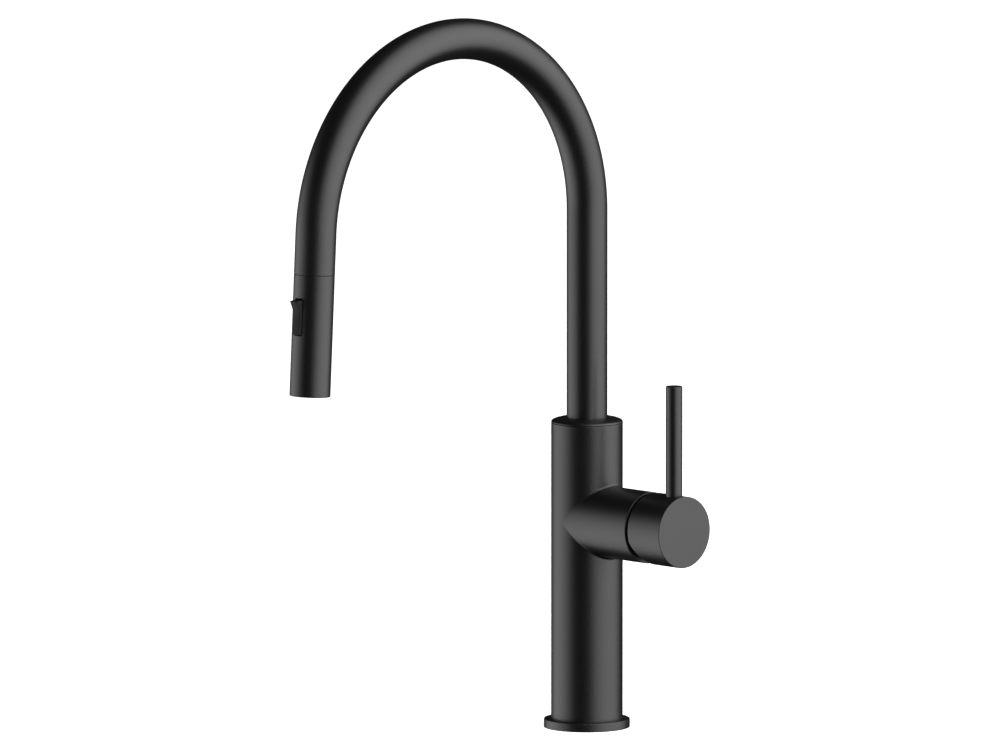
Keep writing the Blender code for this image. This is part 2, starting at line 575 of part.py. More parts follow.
def main():
    clear_scene()
    black = finish("matte_black_coat", (0.018, 0.018, 0.018), 0.45, 0.3)
    toggle_black = finish("black_plastic", (0.01, 0.01, 0.01), 0.5)
    brass = finish("brass", (0.72, 0.55, 0.27), 0.35, 1.0)
    copper = finish("copper", (0.72, 0.38, 0.26), 0.35, 1.0)
    steel = finish("stainless_steel", (0.6, 0.6, 0.6), 0.3, 1.0)
    magnet = finish("nickel_plated_magnet", (0.55, 0.54, 0.5), 0.3, 1.0)
    nylon = finish("white_acetal", (0.8, 0.8, 0.78), 0.5)
    plastic = finish("grey_plastic", (0.25, 0.25, 0.26), 0.5)
    ceramic = finish("alumina_ceramic", (0.85, 0.84, 0.8), 0.25)
    rubber = finish("black_rubber", (0.02, 0.02, 0.02), 0.8)
    silicone = finish("grey_silicone", (0.12, 0.12, 0.12), 0.7)
    braid = finish("black_nylon_braid", (0.03, 0.03, 0.03), 0.7)
    make_base(black, rubber)
    make_body_shell(black)
    make_shank(brass, rubber, steel)
    make_swivel(brass, nylon, rubber, steel)
    make_waterway(brass, copper)
    carrier_x = make_cartridge(plastic, ceramic, brass, steel)
    make_stem(steel, carrier_x)
    make_lever(black, steel)
    make_spout(black, nylon, magnet)
    make_hose(braid, brass, steel, rubber)
    make_head_shell(black)
    make_head_inside(plastic, magnet, steel, rubber, silicone)
    make_toggle(toggle_black, plastic)


main()
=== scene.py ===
"""The visible surfaces of a pull down kitchen faucet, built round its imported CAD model.

Metres, +Z up, in the model's own frame: the origin is the centre of the base ring's underside, the spout
reaches towards -Y and the lever sits on the +X side. Each sub-assembly is a class whose fields are its sizes.
"""

import json
import logging
from collections.abc import Callable, Iterable, Mapping, Sequence
from dataclasses import dataclass, field
from enum import Enum
from math import atan2, ceil, cos, hypot, pi, radians, sin, sqrt, tan, tau
from typing import Any, Protocol

import bmesh
import bpy
from mathutils import Matrix, Vector


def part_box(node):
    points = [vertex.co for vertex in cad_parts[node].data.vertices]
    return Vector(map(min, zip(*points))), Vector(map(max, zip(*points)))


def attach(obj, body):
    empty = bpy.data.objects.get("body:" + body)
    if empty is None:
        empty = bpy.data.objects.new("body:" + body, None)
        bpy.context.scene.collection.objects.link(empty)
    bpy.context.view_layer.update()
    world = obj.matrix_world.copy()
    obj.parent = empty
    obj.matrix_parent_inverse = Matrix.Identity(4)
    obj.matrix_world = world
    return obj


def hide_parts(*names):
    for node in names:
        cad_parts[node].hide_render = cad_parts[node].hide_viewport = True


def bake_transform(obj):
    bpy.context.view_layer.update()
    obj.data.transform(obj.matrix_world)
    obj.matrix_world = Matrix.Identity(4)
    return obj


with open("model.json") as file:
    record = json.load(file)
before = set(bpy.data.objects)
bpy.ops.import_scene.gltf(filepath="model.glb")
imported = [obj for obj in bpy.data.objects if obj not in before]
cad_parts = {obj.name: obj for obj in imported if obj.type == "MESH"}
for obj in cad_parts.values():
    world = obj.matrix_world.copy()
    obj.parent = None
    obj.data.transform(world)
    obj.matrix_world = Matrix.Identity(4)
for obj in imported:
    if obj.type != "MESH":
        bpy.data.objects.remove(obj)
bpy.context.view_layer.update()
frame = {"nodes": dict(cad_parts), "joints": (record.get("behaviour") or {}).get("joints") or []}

MM = 0.001
HEX_END = 0.97  # the circle that a hexagon is chamfered to, as a share of the circle inside its flats
HEX_BORE = 0.98  # points inside this share of it are a bore's or a shaft's, and stay round

Route = Callable[[float], Matrix]
Outline = list[tuple[float, float]]
Shape = Callable[[float, float, float], tuple[float, float]]

log = logging.getLogger("faucet")


# The frame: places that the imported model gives


class Body(Enum):
    """The bodies of the model that pieces ride on."""

    COLUMN = "body"
    SPOUT = "spout"
    HOSE_END = "hose_end"
    HEAD = "spray_head"
    TOGGLE = "toggle"
    LEVER = "lever"


def joint(name: str) -> dict[str, Any]:
    """Finds one of the model's joints.

    Args:
        name: The joint's name.

    Returns:
        The joint's description, with its pos_m and axis.
    """
    return next(found for found in frame["joints"] if found["name"] == name)


def upright(along: float) -> Matrix:
    """The route straight up the column's axis."""
    return Matrix.Translation((0, 0, along))


def straight(start: Matrix) -> Route:
    """A route along the local Z axis of a frame.

    Args:
        start: The frame that the route starts in.

    Returns:
        A function from a distance to the frame at that distance.
    """
    return lambda along: start @ Matrix.Translation((0, 0, along))


def lever_frame() -> Matrix:
    """The branch's frame: local Z runs out along it and local X points down."""
    height = joint("lever_turn")["pos_m"][2]
    return Matrix.Translation((0, 0, height)) @ Matrix.Rotation(pi / 2, 4, "Y")


def head_frame() -> Matrix:
    """The spray head's frame at the seam: local Z runs down it and local Y points away from the column."""
    spin = joint("head_spin")
    down = Vector(spin["axis"]).normalized()
    across = Vector((1, 0, 0))
    turn = Matrix((across, down.cross(across), down)).transposed().to_4x4()
    return Matrix.Translation(Vector(spin["pos_m"])) @ turn


# Mesh building


@dataclass(frozen=True)
class Corner:
    """A corner of a turned outline.

    Attributes:
        radius: Distance from the axis.
        along: Distance along the axis.
        round: Radius of the rounding at this corner, or 0 for a sharp one.
    """

    radius: float
    along: float
    round: float = 0.0


def corners(*points: Sequence[float]) -> list[Corner]:
    """Corners from (radius, along) or (radius, along, round), all in millimetres."""
    return [Corner(*(value * MM for value in point)) for point in points]


def swing(first: Vector, last: Vector, share: float) -> Vector:
    """Turns one vector part of the way to another of the same length."""
    return first.slerp(last, share) * first.length


def soften(outline: Sequence[Corner], steps: int = 5) -> Outline:
    """Rounds the corners of an outline, with a point close to each end of the rounding to keep flats flat.

    Args:
        outline: Its corners in order. It is closed unless it starts and ends on the axis.
        steps: How many short runs make each rounding.

    Returns:
        The (radius, along) points.
    """
    points: Outline = []
    for index, corner in enumerate(outline):
        here = Vector((corner.radius, corner.along))
        if not corner.round:
            points.append(tuple(here))
            continue
        before, after = outline[index - 1], outline[(index + 1) % len(outline)]
        back = Vector((before.radius, before.along)) - here
        on = Vector((after.radius, after.along)) - here
        half = back.angle(on) / 2
        reach = corner.round / tan(half)
        support = 0.3 * min(corner.round, back.length - reach, on.length - reach)
        back.normalize()
        on.normalize()
        centre = here + (back + on).normalized() * corner.round / sin(half)
        first, last = here + back * reach - centre, here + on * reach - centre
        if support > 0:
            points.append(tuple(here + back * (reach + support)))
        for step in range(steps + 1):
            points.append(tuple(centre + swing(first, last, step / steps)))
        if support > 0:
            points.append(tuple(here + on * (reach + support)))
    return points


def refine(outline: Outline, step: float) -> Outline:
    """Adds points so that no run along the axis is longer than a step.

    Args:
        outline: The (radius, along) points of a closed outline.
        step: The longest run that is left.

    Returns:
        The outline with its long runs divided evenly.
    """
    fine: Outline = []
    for start, end in zip(outline, outline[1:] + outline[:1]):
        count = max(1, ceil(abs(end[1] - start[1]) / step))
        for index in range(count):
            share = index / count
            fine.append(tuple(a + (b - a) * share for a, b in zip(start, end)))
    return fine


def mesh_object(name: str, points: Sequence[Vector], faces: Sequence[Sequence[int]]) -> bpy.types.Object:
    """Makes a linked object from points and faces.

    Args:
        name: The piece's name.
        points: The points in the model's frame.
        faces: The point numbers of each face.

    Returns:
        The new object, shaded smooth except across its sharp edges.
    """
    data = bpy.data.meshes.new(name)
    data.from_pydata([tuple(point) for point in points], [], faces)
    piece = bpy.data.objects.new(name, data)
    bpy.context.scene.collection.objects.link(piece)
    shade(piece)
    return piece


def shade(piece: bpy.types.Object, sharp: float = 38) -> None:
    """Shades a piece smooth, and sharp across edges over this many degrees."""
    piece.data.shade_smooth()
    piece.data.set_sharp_from_angle(angle=radians(sharp))


def turn(name: str, outline: Outline, route: Route = upright, sides: int = 96,
         shape: Shape | None = None) -> bpy.types.Object:
    """Turns an outline about a route.

    Args:
        name: The piece's name.
        outline: (radius, along) points. One that starts and ends on the axis is closed there.
        route: The frame at each distance along, whose local Z runs along it.
        sides: How many sides a full turn has.
        shape: Changes a point, from its angle, radius and distance along to a new radius and distance.

    Returns:
        The turned piece, closed and facing out.
    """
    area = sum(a[0] * b[1] - b[0] * a[1] for a, b in zip(outline, outline[1:] + outline[:1]))
    if area < 0:
        outline = outline[::-1]
    circle = [(tau * index / sides, cos(tau * index / sides), sin(tau * index / sides)) for index in range(sides)]
    points: list[Vector] = []
    rows: list[list[int]] = []
    for radius, along in outline:
        if radius < 1e-9:
            rows.append([len(points)] * sides)
            points.append(route(along).translation)
            continue
        rows.append(list(range(len(points), len(points) + sides)))
        if shape is None:
            place = route(along)
            points += [place @ Vector((radius * x, radius * y, 0)) for _, x, y in circle]
            continue
        for angle, x, y in circle:
            new_radius, new_along = shape(angle, radius, along)
            points.append(route(new_along) @ Vector((new_radius * x, new_radius * y, 0)))
    on_axis = outline[0][0] < 1e-9 and outline[-1][0] < 1e-9
    pairs = list(zip(rows, rows[1:])) + ([] if on_axis else [(rows[-1], rows[0])])
    faces = []
    for low, high in pairs:
        for index in range(sides):
            after = (index + 1) % sides
            face = [low[index], low[after], high[after], high[index]]
            faces.append(list(dict.fromkeys(face)))
    return mesh_object(name, points, faces)


def bar(radius: float, low: float, high: float) -> Outline:
    """The outline of a plain round bar, from axis to axis."""
    return [(0, low), (radius, low), (radius, high), (0, high)]


def prism(name: str, ends: Sequence[Sequence[Vector]]) -> bpy.types.Object:
    """Closes the space between two outlines that match point for point.

    Args:
        name: The piece's name.
        ends: The two outlines.

    Returns:
        The closed prism, facing out.
    """
    near, far = ends
    count = len(near)
    faces = [list(range(count)), list(range(2 * count - 1, count - 1, -1))]
    faces += [[(i + 1) % count, i, count + i, count + (i + 1) % count] for i in range(count)]
    piece = mesh_object(name, [*near, *far], faces)
    face_outwards(piece)
    return piece


def extrude(name: str, outline: Sequence[tuple[float, float]], width: float, place: Matrix) -> bpy.types.Object:
    """Extrudes an outline across its frame.

    Args:
        name: The piece's name.
        outline: (along, out) points, in the frame's local Z and Y.
        width: How far it runs along local X, half each way.
        place: The frame.

    Returns:
        The closed prism, facing out.
    """
    return prism(name, [
        [place @ Vector((side * width / 2, out, along)) for along, out in outline] for side in (-1, 1)
    ])


def face_outwards(piece: bpy.types.Object, weld: float = 0.0) -> None:
    """Turns every face of a piece outwards.

    Args:
        piece: The piece.
        weld: Points closer than this are welded first. 0 welds none.
    """
    mesh = bmesh.new()
    mesh.from_mesh(piece.data)
    if weld:
        bmesh.ops.remove_doubles(mesh, verts=mesh.verts, dist=weld)
        bmesh.ops.dissolve_degenerate(mesh, edges=mesh.edges, dist=weld)
    bmesh.ops.recalc_face_normals(mesh, faces=mesh.faces)
    mesh.to_mesh(piece.data)
    mesh.free()
    shade(piece)


def rounded_box(name: str, low: Sequence[float], high: Sequence[float], radius: float,
                place: Matrix) -> bpy.types.Object:
    """A block with its four edges along local Y rounded, as an end mill leaves a slot.

    Args:
        name: The piece's name.
        low: Its lowest corner (x, y, z) in the frame.
        high: Its highest corner.
        radius: The radius of the four edges.
        place: The frame.

    Returns:
        The closed block.
    """
    ring = []
    for corner, (x, z) in enumerate(((high[0], high[2]), (low[0], high[2]), (low[0], low[2]), (high[0], low[2]))):
        centre_x = x - radius if x > low[0] else x + radius
        centre_z = z - radius if z > low[2] else z + radius
        for step in range(7):
            angle = tau / 4 * (corner + step / 6)
            ring.append((centre_x + radius * cos(angle), centre_z + radius * sin(angle)))
    return prism(name, [[place @ Vector((x, y, z)) for x, z in ring] for y in (low[1], high[1])])


def settle(piece: bpy.types.Object) -> None:
    """Applies a piece's modifiers to its mesh.

    Args:
        piece: The piece.
    """
    bpy.context.view_layer.update()
    shaped = piece.evaluated_get(bpy.context.evaluated_depsgraph_get())
    data = bpy.data.meshes.new_from_object(shaped)
    piece.modifiers.clear()
    piece.data = data
    shade(piece)


class Carve(Enum):
    """What a tool does to the piece it meets."""

    CUT = "DIFFERENCE"
    JOIN = "UNION"


def carve(piece: bpy.types.Object, how: Carve, *tools: bpy.types.Object) -> bpy.types.Object:
    """Cuts tools out of a piece, or joins them to it, and removes the tools.

    Args:
        piece: The piece that is changed.
        how: Whether the tools are cut or joined.
        *tools: The tools, in order.

    Returns:
        The same piece.
    """
    for tool in tools:
        boolean = piece.modifiers.new(tool.name, "BOOLEAN")
        boolean.operation = how.value
        boolean.solver = "MANIFOLD"
        boolean.object = tool
    settle(piece)
    for tool in tools:
        bpy.data.objects.remove(tool, do_unlink=True)
    return piece


def bevel(piece: bpy.types.Object, width: float, segments: int = 3, over: float = 40) -> bpy.types.Object:
    """Rounds a piece's edges that turn by more than an angle.

    Args:
        piece: The piece that is changed.
        width: The bevel's width.
        segments: How many faces it has.
        over: The least angle of an edge that is rounded, in degrees.

    Returns:
        The same piece.
    """
    rounding = piece.modifiers.new("rounding", "BEVEL")
    rounding.width = width
    rounding.segments = segments
    rounding.limit_method = "ANGLE"
    rounding.angle_limit = radians(over)
    rounding.use_clamp_overlap = True
    settle(piece)
    return piece


def thread(outer: float, pitch: float, depth: float, start: float, end: float) -> Shape:
    """A screw thread on the outer wall of a turned piece.

    Args:
        outer: The thread's outer radius, which picks the wall that it is cut in.
        pitch: The distance between its turns.
        depth: How deep it is cut.
        start: Where it starts along the axis.
        end: Where it ends.

    Returns:
        The shape to turn with.
    """
    def cut(angle: float, radius: float, along: float) -> tuple[float, float]:
        """Lowers the wall by a triangular wave that climbs one pitch a turn.

        Args:
            angle: The point's angle round the axis.
            radius: Its distance from the axis.
            along: Its distance along the axis.

        Returns:
            Its new radius and its new distance along.
        """
        if abs(radius - outer) > 1e-6:
            return radius, along
        fade = min(1.0, max(0.0, (along - start) / pitch), max(0.0, (end - along) / pitch))
        phase = (along / pitch - angle / tau) % 1
        return radius - depth * fade * (1 - abs(2 * phase - 1)), along

    return cut


def hexagon(across: float, inside: float, low: float, high: float, lead: float = 0.4) -> Shape:
    """A hexagon with chamfered ends, such as a nut's or a bolt head's.

    Args:
        across: The width across its flats.
        inside: Points with a smaller radius than this are left, such as those of a bore.
        low: Where the hexagon starts along the axis.
        high: Where it ends.
        lead: How steeply its chamfers fall away, as a rise over a run.

    Returns:
        The shape to turn with.
    """
    def cut(angle: float, radius: float, along: float) -> tuple[float, float]:
        """Takes the smaller of the flat and the chamfer's cone.

        Args:
            angle: The point's angle round the axis.
            radius: Its distance from the axis.
            along: Its distance along the axis.

        Returns:
            Its new radius and its new distance along.
        """
        if radius < inside or not low - 1e-7 <= along <= high + 1e-7:
            return radius, along
        flat = across / 2 / cos(angle % (tau / 6) - tau / 12)
        cone = across / 2 * HEX_END + min(along - low, high - along) / lead
        return min(radius, flat, cone), along

    return cut


# Finishes

Setting = float | int | str | tuple | bpy.types.NodeSocket


def linear(colour: str) -> tuple[float, float, float, float]:
    """Turns an sRGB hex colour into linear RGBA.

    Args:
        colour: Six hex digits after a #.

    Returns:
        Red, green, blue and an alpha of 1.
    """
    parts = [int(colour[index:index + 2], 16) / 255 for index in (1, 3, 5)]
    return (*(part / 12.92 if part <= 0.04045 else ((part + 0.055) / 1.055) ** 2.4 for part in parts), 1.0)


def add_node(tree: bpy.types.NodeTree, kind: str, sockets: Mapping[str | int, Setting] | None = None,
             **settings: Any) -> bpy.types.Node:
    """Adds a node with its settings and links.

    Args:
        tree: The node tree.
        kind: The node's type.
        sockets: For an input's name or number, its value, or the output that is linked to it.
        **settings: The node's own properties.

    Returns:
        The new node.
    """
    made = tree.nodes.new(kind)
    for key, value in settings.items():
        setattr(made, key, value)
    for key, value in (sockets or {}).items():
        if isinstance(value, bpy.types.NodeSocket):
            tree.links.new(value, made.inputs[key])
        else:
            made.inputs[key].default_value = value
    return made


def empty_material(name: str) -> tuple[bpy.types.Material, bpy.types.NodeTree]:
    """Makes a node material with no nodes.

    Args:
        name: The material's name.

    Returns:
        The material and its node tree.
    """
    material = bpy.data.materials.new(name)
    material.use_nodes = True
    material.node_tree.nodes.clear()
    return material, material.node_tree


def surface(tree: bpy.types.NodeTree, colour: Setting, roughness: Setting, normal: Setting,
            more: Mapping[str, Setting]) -> None:
    """Ends a node tree in a Principled shader.

    Args:
        tree: The node tree.
        colour: The base colour.
        roughness: The roughness.
        normal: The normal.
        more: The shader's other inputs, by their names.
    """
    shader = add_node(tree, "ShaderNodeBsdfPrincipled", {
        "Base Color": colour, "Roughness": roughness, "Normal": normal, **more,
    })
    add_node(tree, "ShaderNodeOutputMaterial", {"Surface": shader.outputs["BSDF"]})


def per_metre(millimetres: float) -> float:
    """The scale that gives a texture features of this size on coordinates in metres."""
    return 1 / (millimetres * MM)


def noise(tree: bpy.types.NodeTree, place: bpy.types.NodeSocket, size_mm: float, detail: float,
          roughness: float = 0.5) -> bpy.types.NodeSocket:
    """Adds cloud-like noise.

    Args:
        tree: The node tree.
        place: The coordinates, in metres.
        size_mm: The size of its largest features.
        detail: How many finer octaves it has.
        roughness: How strong the finer ones are.

    Returns:
        The noise's output, from 0 to 1.
    """
    return add_node(tree, "ShaderNodeTexNoise", {
        "Vector": place, "Scale": per_metre(size_mm), "Detail": detail, "Roughness": roughness,
    }).outputs["Fac"]


def maths(tree: bpy.types.NodeTree, operation: str, *values: Setting) -> bpy.types.NodeSocket:
    """Adds arithmetic on numbers or outputs.

    Args:
        tree: The node tree.
        operation: The operation's name in Blender.
        *values: What it works on.

    Returns:
        The result's output.
    """
    return add_node(tree, "ShaderNodeMath", dict(enumerate(values)), operation=operation).outputs["Value"]


def spread(tree: bpy.types.NodeTree, value: bpy.types.NodeSocket, start: float, end: float, low: float,
           high: float, **settings: str) -> bpy.types.NodeSocket:
    """Maps one range of a value to another.

    Args:
        tree: The node tree.
        value: The value's output.
        start: The value that gives low.
        end: The value that gives high.
        low: The result at start.
        high: The result at end.
        **settings: The node's own properties.

    Returns:
        The result's output.
    """
    return add_node(tree, "ShaderNodeMapRange", {
        "Value": value, "From Min": start, "From Max": end, "To Min": low, "To Max": high,
    }, **settings).outputs["Result"]


def relief(tree: bpy.types.NodeTree, height: bpy.types.NodeSocket, strength: float, depth_mm: float,
           under: bpy.types.NodeSocket | None = None) -> bpy.types.NodeSocket:
    """Turns a height into a bumped normal.

    Args:
        tree: The node tree.
        height: The height's output.
        strength: How much of the bump shows.
        depth_mm: How deep it is.
        under: The normal that it is added to, or None for the surface's own.

    Returns:
        The normal's output.
    """
    sockets = {"Height": height, "Strength": strength, "Distance": depth_mm * MM}
    if under:
        sockets["Normal"] = under
    return add_node(tree, "ShaderNodeBump", sockets).outputs["Normal"]


class Finish(Protocol):
    """How a surface was made, which a material is built from."""

    name: str

    def material(self) -> bpy.types.Material:
        """Builds the material."""
        ...


def ramp(tree: bpy.types.NodeTree, factor: bpy.types.NodeSocket, low: str, high: str, start: float,
         end: float) -> bpy.types.NodeSocket:
    """Blends two sRGB colours by a factor.

    Args:
        tree: The node tree.
        factor: The factor's output.
        low: The colour up to start.
        high: The colour from end.
        start: Where the blend starts.
        end: Where it ends.

    Returns:
        The colour's output.
    """
    made = add_node(tree, "ShaderNodeValToRGB", {"Fac": factor})
    first, last = made.color_ramp.elements
    first.position, first.color = start, linear(low)
    last.position, last.color = end, linear(high)
    return made.outputs["Color"]


@dataclass(frozen=True)
class PowderCoat:
    """Satin black polyester powder, sprayed on brass and baked.

    To the eye it is a near black with a soft broad sheen, no colour of its own, a fine even sand in the sheen,
    and a slow ripple where the powder flowed as it melted.
    """

    name: str = "satin_black_powder_coat"
    valley: str = "#0a0a0a"
    crest: str = "#101010"
    roughness: float = 0.31
    sand_mm: float = 0.9  # the real sand is about 0.1 mm, and is drawn coarser so that it shows
    flow_mm: float = 5.0  # the ripple of the melted powder
    sheen_mm: float = 30.0  # how the film's thickness wanders over the piece

    def material(self) -> bpy.types.Material:
        """Builds the material."""
        material, tree = empty_material(self.name)
        place = add_node(tree, "ShaderNodeTexCoord").outputs["Object"]
        sand = noise(tree, place, self.sand_mm, 3.0, 0.65)
        film = noise(tree, place, self.sheen_mm, 2.0)
        grip = spread(tree, film, 0.3, 0.7, self.roughness - 0.015, self.roughness + 0.015)
        ripple = relief(tree, noise(tree, place, self.flow_mm, 2.0), 0.25, 0.04)
        surface(
            tree,
            ramp(tree, sand, self.valley, self.crest, 0.35, 0.65),
            maths(tree, "MULTIPLY_ADD", sand, 0.06, grip),
            relief(tree, sand, 0.8, 0.1, ripple),
            {"IOR": 1.5},
        )
        return material


@dataclass(frozen=True)
class Moulded:
    """An injection moulded plastic with a spark eroded texture.

    To the eye the even grain of the mould breaks up the gloss, and the colour drifts a little where the melt
    flowed.
    """

    name: str
    shade: str
    tint: str
    roughness: float = 0.45
    grain_mm: float = 0.35  # a fine mould texture is about 0.1 mm, and is drawn coarser so that it shows
    relief_mm: float = 0.02
    drift_mm: float = 12.0
    ior: float = 1.52
    clouding: float = 0.0  # how much light scatters inside, as in natural acetal
    speckle: float = 0.0  # how much short glass fibre shows at the surface

    def material(self) -> bpy.types.Material:
        """Builds the material."""
        material, tree = empty_material(self.name)
        place = add_node(tree, "ShaderNodeTexCoord").outputs["Object"]
        grain = add_node(tree, "ShaderNodeTexVoronoi", {
            "Vector": place, "Scale": per_metre(self.grain_mm), "Randomness": 1.0,
        }, feature="SMOOTH_F1").outputs["Distance"]
        fibre = noise(tree, place, self.grain_mm, 1.0)
        blend = maths(tree, "MULTIPLY_ADD", fibre, self.speckle, noise(tree, place, self.drift_mm, 4.0))
        surface(
            tree,
            ramp(tree, blend, self.shade, self.tint, 0.35, 0.7),
            spread(tree, grain, 0.0, 0.8, self.roughness - 0.05, self.roughness + 0.06),
            relief(tree, grain, 0.4, self.relief_mm),
            {"IOR": self.ior, "Subsurface Weight": self.clouding, "Subsurface Radius": (0.002, 0.002, 0.002)},
        )
        return material


class Lay(Enum):
    """Which way the tool marks run on a metal, as stretch factors of the noise that draws them."""

    TURNED_UP = (0.02, 0.02, 1.0)
    TURNED_OUT = (1.0, 0.02, 0.02)
    DRAWN_UP = (1.0, 1.0, 0.02)
    NONE = (1.0, 1.0, 1.0)


@dataclass(frozen=True)
class Machined:
    """A bare or plated metal with tool marks.

    To the eye the marks draw the light out across them, and a thin film of oxide dulls and warms the metal in
    patches.
    """

    name: str
    metal: str
    film: str
    lay: Lay
    roughness: float = 0.28
    mark_mm: float = 0.3  # the feed of the tool is about 0.1 mm, and is drawn coarser so that it shows
    relief_mm: float = 0.012
    patch_mm: float = 9.0

    def material(self) -> bpy.types.Material:
        """Builds the material."""
        material, tree = empty_material(self.name)
        place = add_node(tree, "ShaderNodeTexCoord").outputs["Object"]
        along = add_node(tree, "ShaderNodeMapping", {"Vector": place, "Scale": self.lay.value})
        marks = noise(tree, along.outputs["Vector"], self.mark_mm, 3.0, 0.6)
        patches = noise(tree, place, self.patch_mm, 5.0, 0.6)
        dull = spread(tree, patches, 0.4, 0.75, self.roughness - 0.04, self.roughness + 0.1)
        surface(
            tree,
            ramp(tree, patches, self.metal, self.film, 0.42, 0.72),
            maths(tree, "MULTIPLY_ADD", marks, 0.1, dull),
            relief(tree, marks, 0.5, self.relief_mm),
            {"Metallic": 1.0},
        )
        return material


@dataclass(frozen=True)
class Rubber:
    """A compression moulded rubber or silicone.

    To the eye it is matt, with a pale bloom of wax in patches and the faint pits of its mould.
    """

    name: str
    base: str
    bloom: str
    roughness: float = 0.8
    pit_mm: float = 0.5
    bloom_mm: float = 6.0
    sheen: float = 0.15

    def material(self) -> bpy.types.Material:
        """Builds the material."""
        material, tree = empty_material(self.name)
        place = add_node(tree, "ShaderNodeTexCoord").outputs["Object"]
        pits = add_node(tree, "ShaderNodeTexVoronoi", {"Vector": place, "Scale": per_metre(self.pit_mm)})
        bloom = noise(tree, place, self.bloom_mm, 6.0, 0.7)
        surface(
            tree,
            ramp(tree, bloom, self.base, self.bloom, 0.4, 0.8),
            spread(tree, bloom, 0.0, 1.0, self.roughness - 0.12, self.roughness + 0.1),
            relief(tree, pits.outputs["Distance"], 0.3, 0.02),
            {"IOR": 1.5, "Sheen Weight": self.sheen, "Sheen Roughness": 0.5},
        )
        return material


@dataclass(frozen=True)
class Ceramic:
    """Alumina, pressed, fired and lapped flat.

    To the eye it is a warm white with a tight gloss and a fine grey speckle of pores.
    """

    name: str = "lapped_alumina"
    body: str = "#e9e6dd"
    pore: str = "#c9c4b8"
    pore_mm: float = 0.4  # real pores are a few hundredths, drawn coarser so that they show

    def material(self) -> bpy.types.Material:
        """Builds the material."""
        material, tree = empty_material(self.name)
        place = add_node(tree, "ShaderNodeTexCoord").outputs["Object"]
        pores = noise(tree, place, self.pore_mm, 4.0, 0.8)
        surface(
            tree,
            ramp(tree, pores, self.pore, self.body, 0.3, 0.42),
            spread(tree, pores, 0.3, 0.5, 0.4, 0.18),
            relief(tree, pores, 0.2, 0.01),
            {"IOR": 1.76},
        )
        return material


@dataclass(frozen=True)
class Braid:
    """A sleeve of black nylon yarn, braided over a hose.

    To the eye it is a diamond pattern of flat yarns that pass over and under each other, each with a thin sheen.
    Its colour is painted darker in the gaps where one yarn passes under another, as painted shade.
    """

    name: str
    place: Matrix  # the frame whose local Z is the hose's axis
    yarn: str = "#2b2b2c"
    # the colour of the painted shade in the gaps between the yarns
    painted_gap_shade: str = "#070707"
    strands: int = 16  # yarns each way round
    pitch_mm: float = 38.0  # the length of one full turn of a yarn
    relief_mm: float = 0.25
    fuzz_mm: float = 0.5

    def material(self) -> bpy.types.Material:
        """Builds the material."""
        material, tree = empty_material(self.name)
        home = self.place.inverted()
        place = add_node(tree, "ShaderNodeTexCoord").outputs["Object"]
        local = add_node(tree, "ShaderNodeMapping", {
            "Vector": place, "Location": tuple(home.translation), "Rotation": tuple(home.to_euler()),
        })
        parts = add_node(tree, "ShaderNodeSeparateXYZ", {"Vector": local.outputs["Vector"]}).outputs
        yarns = self.strands / 2
        bearing = maths(tree, "MULTIPLY", maths(tree, "ARCTAN2", parts["Y"], parts["X"]), yarns)
        climb = maths(tree, "MULTIPLY", parts["Z"], yarns * tau / (self.pitch_mm * MM))
        waves = [maths(tree, "SINE", maths(tree, way, bearing, climb)) for way in ("ADD", "SUBTRACT")]
        # Where the product of the two waves is high one set of yarns lies on top, and where it is low the other.
        over = maths(tree, "ABSOLUTE", maths(tree, "MULTIPLY", *waves))
        crown = maths(tree, "POWER", over, 0.4)
        yarn = maths(tree, "MULTIPLY_ADD", noise(tree, place, self.fuzz_mm, 3.0), 0.25, crown)
        surface(
            tree,
            # The colour runs from painted shade in the gaps between the yarns to the yarn's own colour on their
            # crowns.
            ramp(tree, yarn, self.painted_gap_shade, self.yarn, 0.25, 1.0),
            spread(tree, crown, 0.0, 1.0, 0.75, 0.5),
            relief(tree, yarn, 0.8, self.relief_mm),
            {"IOR": 1.53, "Sheen Weight": 0.3, "Sheen Roughness": 0.4},
        )
        return material


COAT = PowderCoat()
TRIM = Machined("black_anodised_aluminium", "#0a0a0a", "#0e0e0f", Lay.TURNED_OUT, roughness=0.5)
TOGGLE_ABS = Moulded("black_moulded_abs", "#0b0b0b", "#111111", roughness=0.62, ior=1.3)
SPRAY_ABS = Moulded("grey_moulded_abs", "#3c3d3f", "#454648", roughness=0.4)
CARTRIDGE_PBT = Moulded("glass_filled_pbt", "#5a5c5e", "#6b6d70", roughness=0.55, speckle=0.4)
ACETAL = Moulded("natural_acetal", "#d9d7cf", "#e4e2dc", roughness=0.38, relief_mm=0.008, clouding=0.25, ior=1.48)
TURNED_BRASS = Machined("turned_brass", "#d8b36a", "#cba55f", Lay.TURNED_UP, roughness=0.25)
COPPER = Machined("drawn_copper_tube", "#d28a66", "#bb7657", Lay.DRAWN_UP, roughness=0.28)
STAINLESS = Machined("turned_stainless_steel", "#b9bbbd", "#a5a7aa", Lay.TURNED_UP, roughness=0.24)
NICKEL = Machined("nickel_plated_magnet", "#c2bfb6", "#aeaba2", Lay.NONE, roughness=0.2, mark_mm=1.2)
CERAMIC = Ceramic()
EPDM = Rubber("moulded_epdm_rubber", "#121212", "#1c1c1d")
SILICONE = Rubber("moulded_grey_silicone", "#3a3b3d", "#46474a", roughness=0.6, sheen=0.3)

_made: dict[str, bpy.types.Material] = {}


def material_of(finish: Finish) -> bpy.types.Material:
    """Builds a finish's material once, and gives the same one after that.

    Args:
        finish: The finish.

    Returns:
        Its material.
    """
    if finish.name not in _made:
        _made[finish.name] = finish.material()
    return _made[finish.name]


class Slot(Enum):
    """The record's material slots that new pieces take their finish from."""

    COAT = "coated_brass"
    TOGGLE = "toggle_plastic"
    BRASS = "turned_brass"
    TRIM = "trim_black"
    COPPER = "copper"
    STAINLESS = "stainless"
    NICKEL = "nickel"
    ACETAL = "acetal"
    SPRAY = "spray_plastic"
    RUBBER = "rubber"
    SILICONE = "silicone"
    BRAID = "hose_braid"


